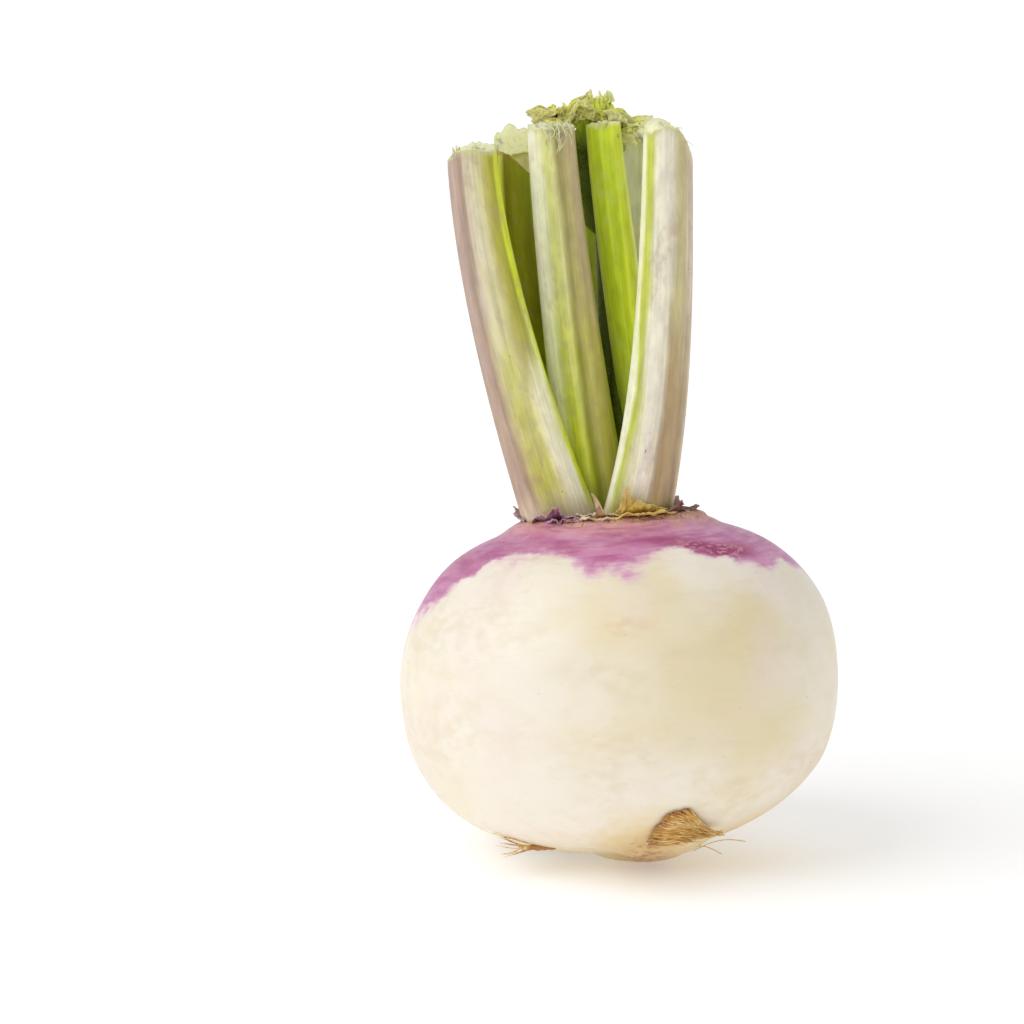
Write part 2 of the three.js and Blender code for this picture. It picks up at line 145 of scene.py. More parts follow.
def slab(columns, rows):
    """A closed slab from -1 to 1 each way, split into columns along X and rows along Y."""
    bm = bmesh.new()
    bmesh.ops.create_cube(bm, size=2)
    for axis, count in ((0, columns), (1, rows)):
        along = [e for e in bm.edges if abs(e.verts[0].co[axis] - e.verts[1].co[axis]) > 1]
        bmesh.ops.subdivide_edges(bm, edges=along, cuts=count - 1)
    return meshed(bm, "slab")


def added(bm, shape):
    """Copies a shape into a piece, and gives its new corners."""
    before = len(bm.verts)
    bm.from_mesh(shape)
    bm.verts.ensure_lookup_table()
    return bm.verts[before:]


def carried(bm, *names):
    """Layers for three numbers at every corner, which the materials read by these names."""
    return [bm.verts.layers.float_vector.new(name) for name in names]


def strand(bm, shape, path, girth):
    """Adds a thin round strand, and gives its corners. path gives a point, and girth a radius, for
    each t from 0 to 1."""
    near = 0.02
    corners = added(bm, shape)
    for vert in corners:
        t = vert.co.z + 0.5
        along = (path(min(1, t + near)) - path(max(0, t - near))).normalized()
        side = along.orthogonal().normalized()
        side = (UP.cross(along) if abs(along.z) < 0.95 else side).normalized()
        radius = girth(t)
        vert.co = path(t) + side * (vert.co.x * radius) + along.cross(side) * (vert.co.y * radius)
    return corners


def placed(name, data):
    made = bpy.data.objects.new(name, data)
    bpy.context.scene.collection.objects.link(made)
    return made


def finished(bm, name, stands_for, slot, skin):
    """Turns a shape in millimetres into a piece that stands for a node of the solids."""
    bmesh.ops.recalc_face_normals(bm, faces=bm.faces)
    bmesh.ops.scale(bm, vec=(MM, MM, MM), verts=bm.verts)
    mesh = meshed(bm, name)
    mesh.shade_smooth()
    mesh.set_sharp_from_angle(angle=SHARP_FROM)
    mesh.materials.append(skin)
    piece = placed(name, mesh)
    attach(piece, "root")
    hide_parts(stands_for)


# Materials.


def linear(colour):
    """An sRGB hex colour as the linear numbers that the shaders use."""
    parts = [int(colour[i : i + 2], 16) / 255 for i in (1, 3, 5)]
    return [p / 12.92 if p <= 0.04045 else ((p + 0.055) / 1.055) ** 2.4 for p in parts] + [1]


def node(tree, kind, inputs=None, stops=None, output=None, **settings):
    """Adds a node with its settings and links, and gives the output that is used."""
    made = tree.nodes.new("ShaderNode" + kind)
    for key, value in settings.items():
        setattr(made, key, value)
    for key, value in (inputs or {}).items():
        socket = made.inputs[key] if isinstance(key, int) else next(
            s for s in made.inputs if s.name == key and s.enabled
        )
        if isinstance(value, bpy.types.NodeSocket):
            tree.links.new(value, socket)
        else:
            socket.default_value = linear(value) if isinstance(value, str) else value
    if stops:
        ramp = made.color_ramp
        while len(ramp.elements) < len(stops):
            ramp.elements.new(0.5)
        for element, (place, colour) in zip(ramp.elements, stops):
            element.position = place
            element.color = linear(colour)
    if output:
        return made.outputs[output]
    return next((s for s in made.outputs if s.enabled), None)


def material(name, build):
    made = bpy.data.materials.new(name)
    made.use_nodes = True
    made.node_tree.nodes.clear()
    node(made.node_tree, "OutputMaterial", {"Surface": build(made.node_tree)})
    return made


def slope(value, low, high, amount=1):
    """Rises softly from 0 to amount while a value, or the sum of several, goes from low to high."""
    total, *others = value if isinstance(value, tuple) else [value]
    tree = total.id_data
    for other in others:
        total = node(tree, "Math", {0: total, 1: other}, operation="ADD")
    return node(
        tree, "MapRange", {"Value": total, "From Min": low, "From Max": high, "To Max": amount},
        interpolation_type="SMOOTHSTEP",
    )


def patches(place, size, low, high, detail=3, amount=1):
    """Soft patches of about size millimetres along each axis of place, from 0 to amount."""
    tree = place.id_data
    scaled = node(tree, "VectorMath", {0: place, 1: [1 / s for s in size]}, operation="MULTIPLY")
    cloud = node(tree, "TexNoise", {"Vector": scaled, "Scale": 1, "Detail": detail})
    return slope(cloud, low, high, amount)


def layered(colour, layers):
    """Lays colours over one another. Each goes on where all of its masks are over 0."""
    for over, amount, *masks in layers:
        tree = amount.id_data
        for mask in masks:
            amount = node(tree, "Math", {0: amount, 1: mask}, operation="MULTIPLY")
        colour = node(tree, "Mix", {"Factor": amount, "A": colour, "B": over}, data_type="RGBA")
    return colour


def parts_of(tree, name):
    """The three numbers that the corners of a piece carry under a name."""
    carried = node(tree, "Attribute", output="Vector", attribute_name=name)
    return node(tree, "SeparateXYZ", {"Vector": carried}).node.outputs


def turnip_skin(tree):
    """Thin, taut skin with a wax bloom: cream below, purple where it stood out of the ground,
    drawn out in streaks round the shoulder, and corky round the leaf scars."""
    run = node(tree, "Attribute", output="Vector", attribute_name="skin")
    inside, ring, stain_and_shade = parts_of(tree, "tints")
    deep, tan, yellowed = parts_of(tree, "marks")

    # Cream, with broad yellowish and pinkish parts, fine mottling and sparse pores.
    mottle = patches(run, (3.4, 3.4, 2.2), 0.35, 0.7, 4)
    ripe = slope((yellowed, patches(run, (24, 24, 18), 0.3, 0.7, 2, 0.8)), 0.25, 1.7)
    colour = layered("#F4ECDE", [
        ("#EBDCB2", ripe),
        ("#F0DDD4", patches(run, (17, 17, 22), 0.5, 0.8, 2, 0.6)),
        ("#D8C8A0", mottle, patches(run, (19, 19, 15), 0.35, 0.7, 2, 0.35)),
        ("#C9C4A2", patches(run, (14, 14, 3), 0.5, 0.8, 6, 0.3), ripe),
        ("#BFA673", patches(run, (1.1, 1.1, 0.6), 0.7, 0.78, 2, 0.3)),
        ("#DDAE66", tan, patches(run, (3, 3, 1.6), 0.25, 0.65, 4)),
    ])

    # Purple shoulder, feathered along its lower edge and streaked round the root.
    wide = patches(run, (15, 15, 1.6), 0.3, 0.7, 5)
    narrow = patches(run, (8, 8, 0.5), 0.3, 0.7, 5)
    spread = (
        inside,
        patches(run, (8, 8, 5), 0.3, 0.7, 4, 4.2),
        patches(run, (3.2, 3.2, 2), 0.3, 0.7, 5, 1.4),
        patches(run, (13, 13, 0.8), 0.3, 0.7, 5, 1),
    )
    body = slope(spread, 3.2, 9.2)
    colour = layered(colour, [
        ("#EAC8D9", slope(spread, 0.2, 6, 0.9)),
        ("#D083B0", slope(spread, 2, 7, 0.95)),
        ("#B5508F", body, slope(wide, 0, 0.8, 0.8)),
        ("#DDA6CE", body, patches(run, (9, 9, 5), 0.42, 0.72, 4, 0.5)),
        ("#E6BDCB", body, patches(run, (7, 7, 1.1), 0.52, 0.78, 6, 0.45)),
        ("#98397A", body, patches(run, (9, 9, 1.1), 0.54, 0.76, 6, 0.45)),
        ("#9C2269", slope(spread, 2.5, 5.5), deep, patches(run, (7, 7, 1.2), 0.15, 0.42, 5)),
        ("#DFA6A4", slope(deep, 0.5, 1), patches(run, (1.6, 1.6, 0.6), 0.48, 0.64, 5, 0.7)),
    ])

    # Rosy, then corky towards the crown, where the old leaves came away, and beside it a dark band
    # of painted shade under the scales.
    grit = patches(run, (0.8, 0.8, 0.35), 0.3, 0.7, 5)
    cork = slope((ring, patches(run, (2.4, 2.4, 0.8), 0.25, 0.75, 5, 1.8)), 0.2, 1.9)
    corky = node(tree, "ValToRGB", {"Fac": grit}, stops=[
        (0, "#96604E"), (0.4, "#BD8A6C"), (0.7, "#D0A384"), (1, "#E2C3A2"),
    ])
    colour = layered(colour, [
        ("#DDA3A0", slope(ring, -4.6, 0.4), patches(run, (9, 9, 1), 0.2, 0.65, 5)),
        ("#C98C76", slope(ring, -3.4, 0.6), patches(run, (2.2, 2.2, 0.5), 0.5, 0.66, 5, 0.7)),
        ("#B06A8E", slope(ring, -4, -1), patches(run, (9, 9, 0.6), 0.54, 0.66, 5, 0.7)),
        (corky, cork),
        # Painted shade: a dark band at the crown's edge, under the scales.
        ("#57202F", slope((ring, patches(run, (5, 5, 0.8), 0.25, 0.75, 4, 0.8)), 2, 2.7)),
    ])

    # Earth stain round the tap root: straw, then brown where it is deepest. The same mask lays a
    #     # tan rim with painted shade along the lower right edge.
    soil_and_shade = (stain_and_shade, patches(run, (4, 4, 3), 0.25, 0.75, 5, 0.3))
    colour = layered(colour, [
        ("#E8D09A", slope(soil_and_shade, 0.1, 1.1, 0.85)),
        ("#D2A660", slope(soil_and_shade, 0.9, 1.9, 0.75)),
        ("#8A5320", slope((stain_and_shade, patches(run, (3, 3, 1.4), 0.3, 0.7, 5, 0.8)), 1.75, 2.5, 0.8)),
    ])

    rough = node(tree, "Mix", {"Factor": cork, "A": 0.38, "B": 0.8}, data_type="FLOAT")
    low = node(tree, "Bump", {"Height": mottle, "Strength": 0.35, "Distance": 0.06 * MM})
    streaky = node(tree, "Bump", {"Height": narrow, "Strength": 0.4, "Distance": 0.05 * MM, "Normal": low})
    height = node(tree, "Math", {0: grit, 1: cork}, operation="MULTIPLY")
    normal = node(tree, "Bump", {
        "Height": height, "Strength": 0.4, "Distance": 0.15 * MM, "Normal": streaky,
    })
    return node(tree, "BsdfPrincipled", {
        "Base Color": colour, "Roughness": rough, "Normal": normal, "IOR": 1.45,
        "Subsurface Weight": 0.15, "Subsurface Radius": (1, 0.6, 0.35), "Subsurface Scale": 2.5 * MM,
        "Coat Weight": 0.1, "Coat Roughness": 0.35,
    })


def stalk_skin(colours):
    """Crisp, stringy leaf stalk: stripes of colour up the back, a green hollow, pale at the foot
    and pale wet flesh where the knife went through."""

    def build(tree):
        across, up, side = parts_of(tree, "band")
        grain = node(tree, "Attribute", output="Vector", attribute_name="grain")
        cut = node(tree, "Attribute", output="Fac", attribute_name="cut")

        drift = patches(grain, (5, 24, 5), 0.3, 0.7, 3, 0.05)
        wander = node(tree, "Math", {0: across, 1: drift}, operation="ADD")
        wander = node(tree, "Math", {0: wander, 1: 0.025}, operation="SUBTRACT")
        climb = slope((up, patches(grain, (3, 12, 3), 0.3, 0.7, 3, 0.25)), 0.3, 0.85)
        faces = []
        for face in ("back", "hollow"):
            upper, lower = (
                node(tree, "ValToRGB", {"Fac": wander}, stops=colours.get(key, colours[face]))
                for key in (face, face + "_low")
            )
            faces.append(layered(lower, [(upper, climb)]))
        colour = layered(faces[0], [(faces[1], slope(side, 0.05, -0.05))])
        colour = layered(colour, [(colours["foot"], slope((up, drift), 0.17, 0.05, 0.85))])

        fibres = patches(grain, (0.45, 26, 0.45), 0.25, 0.75, 4)
        clouds = patches(grain, (1.5, 4, 1.5), 0.25, 0.75, 6)
        wrinkles = patches(grain, (2.6, 0.8, 2.6), 0.3, 0.8, 5)
        shade = slope((fibres, fibres, clouds, clouds), 0.4, 3.6, 0.24)
        shade = node(tree, "Math", {0: shade, 1: 0.86}, operation="ADD")
        colour = node(tree, "VectorMath", {0: colour, 1: shade}, operation="MULTIPLY")
        mottle = patches(grain, (1.2, 2.6, 1.2), 0.45, 0.7, 6, 0.45)
        colour = layered(colour, [
            (colours.get("mottle", "#B79C80"), mottle, patches(grain, (4, 14, 4), 0.42, 0.62, 3)),
            ("#A9713A", patches(grain, (1.2, 2.2, 1.2), 0.74, 0.8, 2, 0.7)),
        ])

        edge = slope((up, patches(grain, (0.8, 3, 0.8), 0.3, 0.7, 3, 0.006)), 0.986, 1.004, 0.8)
        bundles = patches(grain, (0.5, 4, 0.5), 0.5, 0.7, 3, 0.4)
        flesh = layered(colours.get("flesh", "#EDEDC4"), [("#CFCE88", bundles)])
        colour = layered(colour, [
            (colours.get("cut_edge", "#C7C58E"), edge), (flesh, cut), ("#E9EABC", slope(cut, 1, 2)),
        ])

        rise = node(tree, "Math", {0: wrinkles, 1: 0.3, 2: fibres}, operation="MULTIPLY_ADD")
        uncut = slope(cut, 0.6, 0.1, 0.35)
        normal = node(tree, "Bump", {"Height": rise, "Strength": uncut, "Distance": 0.1 * MM})
        return node(tree, "BsdfPrincipled", {
            "Base Color": colour, "Roughness": 0.38, "Normal": normal, "IOR": 1.42,
            "Subsurface Weight": slope(cut, 2, 1, 0.6), "Subsurface Radius": (0.9, 1, 0.3),
            "Subsurface Scale": 3.5 * MM,
        })

    return build


def young_leaf_skin(tree):
    """Tender crinkled leaf: yellow-green, paler along the veins and the torn edge, and darkened to
    dark green low down inside the crown as painted shade."""
    up, out, pale = parts_of(tree, "band")
    grain = node(tree, "Attribute", output="Vector", attribute_name="grain")
    crinkle = patches(grain, (0.9, 1.1, 0.9), 0.35, 0.65, 4)
    colour = node(tree, "ValToRGB", {"Fac": out}, stops=[
        (0, "#A9C324"), (0.35, "#D2E638"), (0.75, "#EDF45A"), (1, "#F8F8A0"),
    ])
    colour = layered(colour, [
        ("#F4EE86", pale),
        ("#E4E29A", crinkle, patches(grain, (2.6, 2.6, 2.6), 0.3, 0.7, 3, 0.7)),
        ("#B58F52", patches(grain, (2.2, 2.2, 2.2), 0.62, 0.74, 4, 0.4)),
        # Painted shade: dark green low down, deep inside the crown.
        ("#5C661A", slope(up, 0.9, 0.66, 0.9)),
    ])
    normal = node(tree, "Bump", {"Height": crinkle, "Strength": 0.8, "Distance": 0.25 * MM})
    return node(tree, "BsdfPrincipled", {
        "Base Color": colour, "Roughness": 0.42, "Normal": normal, "IOR": 1.42,
        "Subsurface Weight": 0.5, "Subsurface Radius": (0.9, 1, 0.2), "Subsurface Scale": 1.6 * MM,
    })


def scale_skin(low, body, edge, streak):
    """Dry leaf-base scale: papery, with fine upright veins, dark red where it joins the crown as
    painted shade, and paler at its torn edge, partly from wear and partly a painted highlight."""

    def build(tree):
        _, up, above = parts_of(tree, "band")
        grain = node(tree, "Attribute", output="Vector", attribute_name="grain")
        lift = patches(grain, (1.4, 2, 1.4), 0.25, 0.75, 5, 0.7)
        wander = node(tree, "Math", {0: up, 1: lift}, operation="ADD")
        # Paler towards the torn edge: partly wear, partly a painted highlight.
        colour = node(tree, "ValToRGB", {"Fac": slope(wander, 0, 1.6)}, stops=[
            (0.1, low), (0.4, body), (0.9, edge),
        ])
        veins = patches(grain, (0.35, 3, 0.35), 0.35, 0.68, 5)
        colour = layered(colour, [
            (streak, veins, patches(grain, (1.6, 1.6, 1.6), 0.3, 0.6, 4, 0.8)),
            (low, patches(grain, (0.9, 1.2, 0.9), 0.5, 0.68, 5, 0.6)),
            # Painted shade: dark red where the scale joins the crown.
            ("#4E1524", slope((above, patches(grain, (1.6, 1, 1.6), 0.3, 0.7, 4, 0.5)), 1, 0.4, 0.9)),
        ])
        normal = node(tree, "Bump", {"Height": veins, "Strength": 0.6, "Distance": 0.15 * MM})
        return node(tree, "BsdfPrincipled", {
            "Base Color": colour, "Roughness": 0.42, "Normal": normal, "IOR": 1.45,
        })

    return build


def rootlet_skin(tree):
    """Dry root fibres: golden straw, rusty where they leave the root."""
    grain = node(tree, "Attribute", output="Vector", attribute_name="grain")
    rust = node(tree, "Attribute", output="Fac", attribute_name="rust")
    along = patches(grain, (0.7, 4, 0.7), 0.3, 0.7, 5)
    colour = node(tree, "ValToRGB", {"Fac": along}, stops=[
        (0, "#AE7630"), (0.3, "#D0A04C"), (0.65, "#E2BE74"), (1, "#F4E2AC"),
    ])
    rusty = slope((rust, patches(grain, (1.6, 1.6, 1.6), 0.3, 0.7, 5, 0.7)), 0.5, 1.4, 0.85)
    colour = layered(colour, [("#A86A30", rusty)])
    normal = node(tree, "Bump", {"Height": along, "Strength": 0.4, "Distance": 0.08 * MM})
    return node(tree, "BsdfPrincipled", {
        "Base Color": colour, "Roughness": 0.6, "Normal": normal, "IOR": 1.45,
    })


# Root.

ROOT_SIDES = 300
ROOT_RINGS = 230
# Over 1 packs more of the rings near the crown.
RINGS_TO_CROWN = 1.25
# Millimetres down the root for one degree from its crown.
DEGREE = 0.58
# Slow lumps: their size and height.
LUMPS = [(19, 0.35), (7, 0.1)]
# The leaf scars: from and to down the root, how softly they start and end, their step and depth.
SCAR_RING = (10.6, 15.6)
SCAR_FADES = (1.5, 3)
SCAR_STEP = 0.8
SCAR_DEPTH = 0.32
# How far down the purple reaches, in degrees from the crown, and what is added to it round the
# root: the azimuth, the added degrees, the half width and the steepness.
PURPLE_END = 60
PURPLE_LOBES = [
    (-96, -24, 58, 5), (-22, -9, 14, 2), (-57, 4, 10, 2), (-91, 12, 17, 3), (180, 5, 30, 2),
    (40, 9, 22, 2), (105, -10, 26, 4), (160, 6, 20, 2),
]
# The upper skin turns to cork this many degrees from the crown.
CORK_END = 22.4
# Spots: azimuth, degrees from the crown, half widths and strength. Darker ones in the purple, tan
# marks, and broad yellowed parts.
BLOTCHES = [
    (-57, 37.5, 10, 3, 1.1), (-44, 42, 12, 3.8, 1.4), (-150, 40, 30, 16, 0.4),
    (-66, 33, 14, 2, 0.7), (60, 50, 15, 5, 0.8), (170, 42, 18, 4, 0.7),
]
TAN_MARKS = [
    (-88, 68.6, 6, 3, 0.45), (-122, 39.5, 12, 0.9, 0.6), (-96, 101, 16, 5, 0.15),
    (-20, 118, 26, 9, 0.2), (130, 96, 18, 8, 0.2),
]
YELLOWED = [(-72, 78, 40, 30, 1), (-20, 100, 40, 30, 0.5), (100, 90, 50, 30, 0.8)]
# Earth stains round the tap root, and a tan rim with painted shade along the lower right edge:
# # the way out of the root's middle, the reach in degrees and the strength.
STAINS_AND_SHADE = [
    ((4.6, -24, -23), 14, 1.2), ((4, -14, -28), 13, 1.1), ((16, -13, -24), 13, 0.9),
    # The ways (25, -8, -21) and (33, -5, -13) give the lower right edge its tan rim and painted shade.
    ((4, -4, -30), 20, 0.8), ((-11, -15, -27), 9, 0.9), ((25, -8, -21), 14, 0.9),
    ((33, -5, -13), 12, 0.5),
]


def off_way(way, towards):
    """Degrees between two ways out of the root's middle."""
    return degrees(way.angle(Vector(towards)))


def shoulder_fullness(azimuth):
    return SHOULDER_FULLNESS + SHOULDER_FULLER_RIGHT * cos(azimuth)


def crown_rise(radius):
    return CROWN_RISE * smooth((CROWN_RADIUS + CROWN_EDGE - radius) / CROWN_EDGE)


def top_height(radius, azimuth):
    fullness = shoulder_fullness(azimuth)
    dome = (1 - min(1, radius / ROOT_RADIUS) ** fullness) ** (1 / fullness)
    return CROWN_HEIGHT * dome + crown_rise(radius)


def root_point(direction, grow=0):
    """The root's surface in a direction of its own upright frame, with grow added all round."""
    azimuth = atan2(direction.y, direction.x)
    level = hypot(direction.x, direction.y)
    upper = direction.z > 0
    belly_fullness = BELLY_FULLNESS + BELLY_FULLER_RIGHT * cos(azimuth)
    fullness = shoulder_fullness(azimuth) if upper else belly_fullness
    lobe = sum(share * cos(count * azimuth + turn) for count, share, turn in LOBES)
    radius = ROOT_RADIUS * level ** (2 / fullness)
    out = (radius + grow) * (1 + lobe * level)
    height = ((CROWN_HEIGHT if upper else BELLY_DEPTH) + grow) * power(direction.z, 2 / fullness)
    height += crown_rise(radius) if upper else 0
    point = LEAN @ Vector((out * cos(azimuth), out * sin(azimuth), height))
    way = (point - ROOT_CENTRE).normalized()
    fall, reach, right, left = SHOULDER_SWELL
    share = bump(degrees(acos(max(-1, min(1, direction.z)))), fall, reach)
    point += way * (share * mix((right, left), 0.5 - 0.5 * cos(azimuth)))
    for towards, reach, rise in SWELLINGS:
        point += way * (rise * bump(off_way(way, towards), 0, reach, 4))
    return point


def root_relief(place, down):
    """Slow lumps in the skin, and the uneven rings of leaf scars round the crown."""
    height = sum(rise * noise.noise(place / size) for size, rise in LUMPS)
    ringed = smooth((down - SCAR_RING[0]) / SCAR_FADES[0]) * smooth((SCAR_RING[1] - down) / SCAR_FADES[1])
    wavering = down + 0.5 * noise.noise(place / 6)
    height += SCAR_DEPTH * ringed * ripple(place.x / 7, place.y / 7, wavering / SCAR_STEP)
    return height + 0.5 * SCAR_DEPTH * ringed * noise.noise(place / 1.3)


def spread_round(azimuth, middle):
    """Degrees round the root from a middle, from -180 to 180."""
    return (azimuth - middle + 180) % 360 - 180


def build_root():
    bm = bmesh.new()
    skin, tints, marks = carried(bm, "skin", "tints", "marks")
    bmesh.ops.create_uvsphere(bm, u_segments=ROOT_SIDES, v_segments=ROOT_RINGS, radius=1)
    for vert in bm.verts:
        azimuth = atan2(vert.co.y, vert.co.x)
        colatitude = pi * (acos(max(-1, min(1, vert.co.z))) / pi) ** RINGS_TO_CROWN
        direction = Vector((
            sin(colatitude) * cos(azimuth),
            sin(colatitude) * sin(azimuth),
            cos(colatitude),
        ))
        place = root_point(direction)
        way = (place - ROOT_CENTRE).normalized()
        down = degrees(colatitude) * DEGREE
        vert.co = place + way * root_relief(place, down)
        vert[skin] = (ROOT_RADIUS * cos(azimuth), ROOT_RADIUS * sin(azimuth), down)
        around = degrees(azimuth)
        fall = degrees(colatitude)
        end = PURPLE_END
        for middle, extra, width, steepness in PURPLE_LOBES:
            end += extra * bump(spread_round(around, middle), 0, width, steepness)
        stain_and_shade = sum(share * bump(off_way(way, towards), 0, reach) for towards, reach, share in STAINS_AND_SHADE)
        vert[tints] = ((end - fall) * DEGREE, (CORK_END - fall) * DEGREE, stain_and_shade)
        vert[marks] = [
            sum(
                share * bump(spread_round(around, middle), 0, width) * bump(fall, height, depth)
                for middle, height, width, depth, share in places
            )
            for places in (BLOTCHES, TAN_MARKS, YELLOWED)
        ]
    bmesh.ops.bisect_plane(bm, geom=[*bm.verts, *bm.edges, *bm.faces], plane_no=UP, clear_inner=True)
    bmesh.ops.triangle_fill(bm, edges=[e for e in bm.edges if e.is_boundary], use_beauty=True)
    finished(bm, "turnip_root", "root", "turnip_skin", material("turnip_skin", turnip_skin))


build_root()


# Leaf stalks.

STALK_SIDES = 72
STALK_STEPS = 84
CUT_RINGS = 8
# Over 1 packs more of the steps near the cut.
STEPS_TO_CUT = 1.5
RAGGED_REACH = 0.016
RAGGED_HEIGHT = 0.42
BUNDLE_HEIGHT = 0.16
FINE_RIBS = 11
FINE_RIB_HEIGHT = 0.05
# What sets the patterns of two pieces of a kind apart.
STALKS_APART = Vector((37, 53, 11))
LEAVES_APART = Vector((31, 17, 43))

# Each stalk as in the solids, with the grooves up its back: place across, depth and half width.
STALKS = {
    "front_left": {
        "foot": (-8.4, -5.6), "tip": (-25.6, -7.5, 124.9), "faces": (-118, -118), "flare": 1.5,
        "width": (13.6, 8), "back": (3, 2.7), "channel": (1.2, 1.4), "curl": (48, 42),
        "cut": (-0.18, 0.2, 0.09), "grooves": [(-0.58, 0.3, 0.07), (-0.1, 0.22, 0.06), (0.32, 0.2, 0.05)],
    },
    "front_right": {
        "foot": (4.5, -8), "tip": (8.1, -8, 128.6), "faces": (-66, -58), "flare": 3.2,
        "width": (11.9, 8), "back": (3, 2.7), "channel": (1.2, 1.2), "curl": (50, 46),
        "cut": (0.62, 0.3, 0.21), "grooves": [(-0.62, 0.35, 0.06), (-0.05, 0.25, 0.08), (0.5, 0.35, 0.06)],
    },
    "centre": {
        "foot": (-1.8, -1.8), "tip": (-11.9, 0, 127.3), "faces": (-92, -92), "flare": 1.25,
        "width": (11.6, 7.2), "back": (2.9, 2.7), "channel": (1.4, 1.6), "curl": (40, 36),
        "cut": (0, 0.1, 0), "grooves": [(0.2, 0.6, 0.1), (-0.35, 0.18, 0.07), (0.62, 0.2, 0.06)],
    },
    "left": {
        "foot": (-8.8, 2.4), "tip": (-19, 4.4, 121.4), "faces": (150, 128), "flare": 1.5,
        "width": (10.4, 7.4), "back": (2.6, 2), "channel": (0.9, 0.7), "curl": (46, 46),
        "cut": (-0.72, 0, 0.1), "grooves": [(-0.4, 0.3, 0.07), (0.3, 0.3, 0.07)],
    },
    "back_left": {
        "foot": (-4.6, 7.2), "tip": (-18, 13.6, 122.5), "faces": (122, 116), "flare": 1.5,
        "width": (9.6, 7.4), "back": (2.6, 2.4), "channel": (0.9, 1.2), "curl": (44, 30),
        "cut": (0.1, -1.3, 0), "grooves": [(-0.3, 0.35, 0.08), (0.4, 0.25, 0.06)],
    },
    "right": {
        "foot": (8.6, 0.2), "tip": (-3, 4.4, 127.3), "faces": (20, 62), "flare": 1.15,
        "width": (9.8, 6), "back": (2.6, 2.2), "channel": (1.3, 1.4), "curl": (40, 24),
        "cut": (0.1, 0.1, 0), "grooves": [(-0.35, 0.3, 0.07), (0.35, 0.3, 0.07)],
    },
    "back_right": {
        "foot": (5.8, 7), "tip": (3.8, 14.2, 124.2), "faces": (52, 66), "flare": 1.4,
        "width": (9.2, 6.6), "back": (2.6, 2.3), "channel": (0.9, 1.2), "curl": (44, 34),
        "cut": (-0.1, -0.4, 0), "grooves": [(-0.4, 0.3, 0.07), (0.3, 0.3, 0.07)],
    },
    "back": {
        "foot": (0.6, 9.8), "tip": (-5.2, 21, 117), "faces": (86, 92), "flare": 1.6,
        "width": (8.8, 6.8), "back": (2.6, 2.4), "channel": (0.9, 1.1), "curl": (44, 36),
        "cut": (0.15, -0.3, 0.02), "grooves": [(-0.3, 0.3, 0.07), (0.45, 0.3, 0.07)],
    },
}

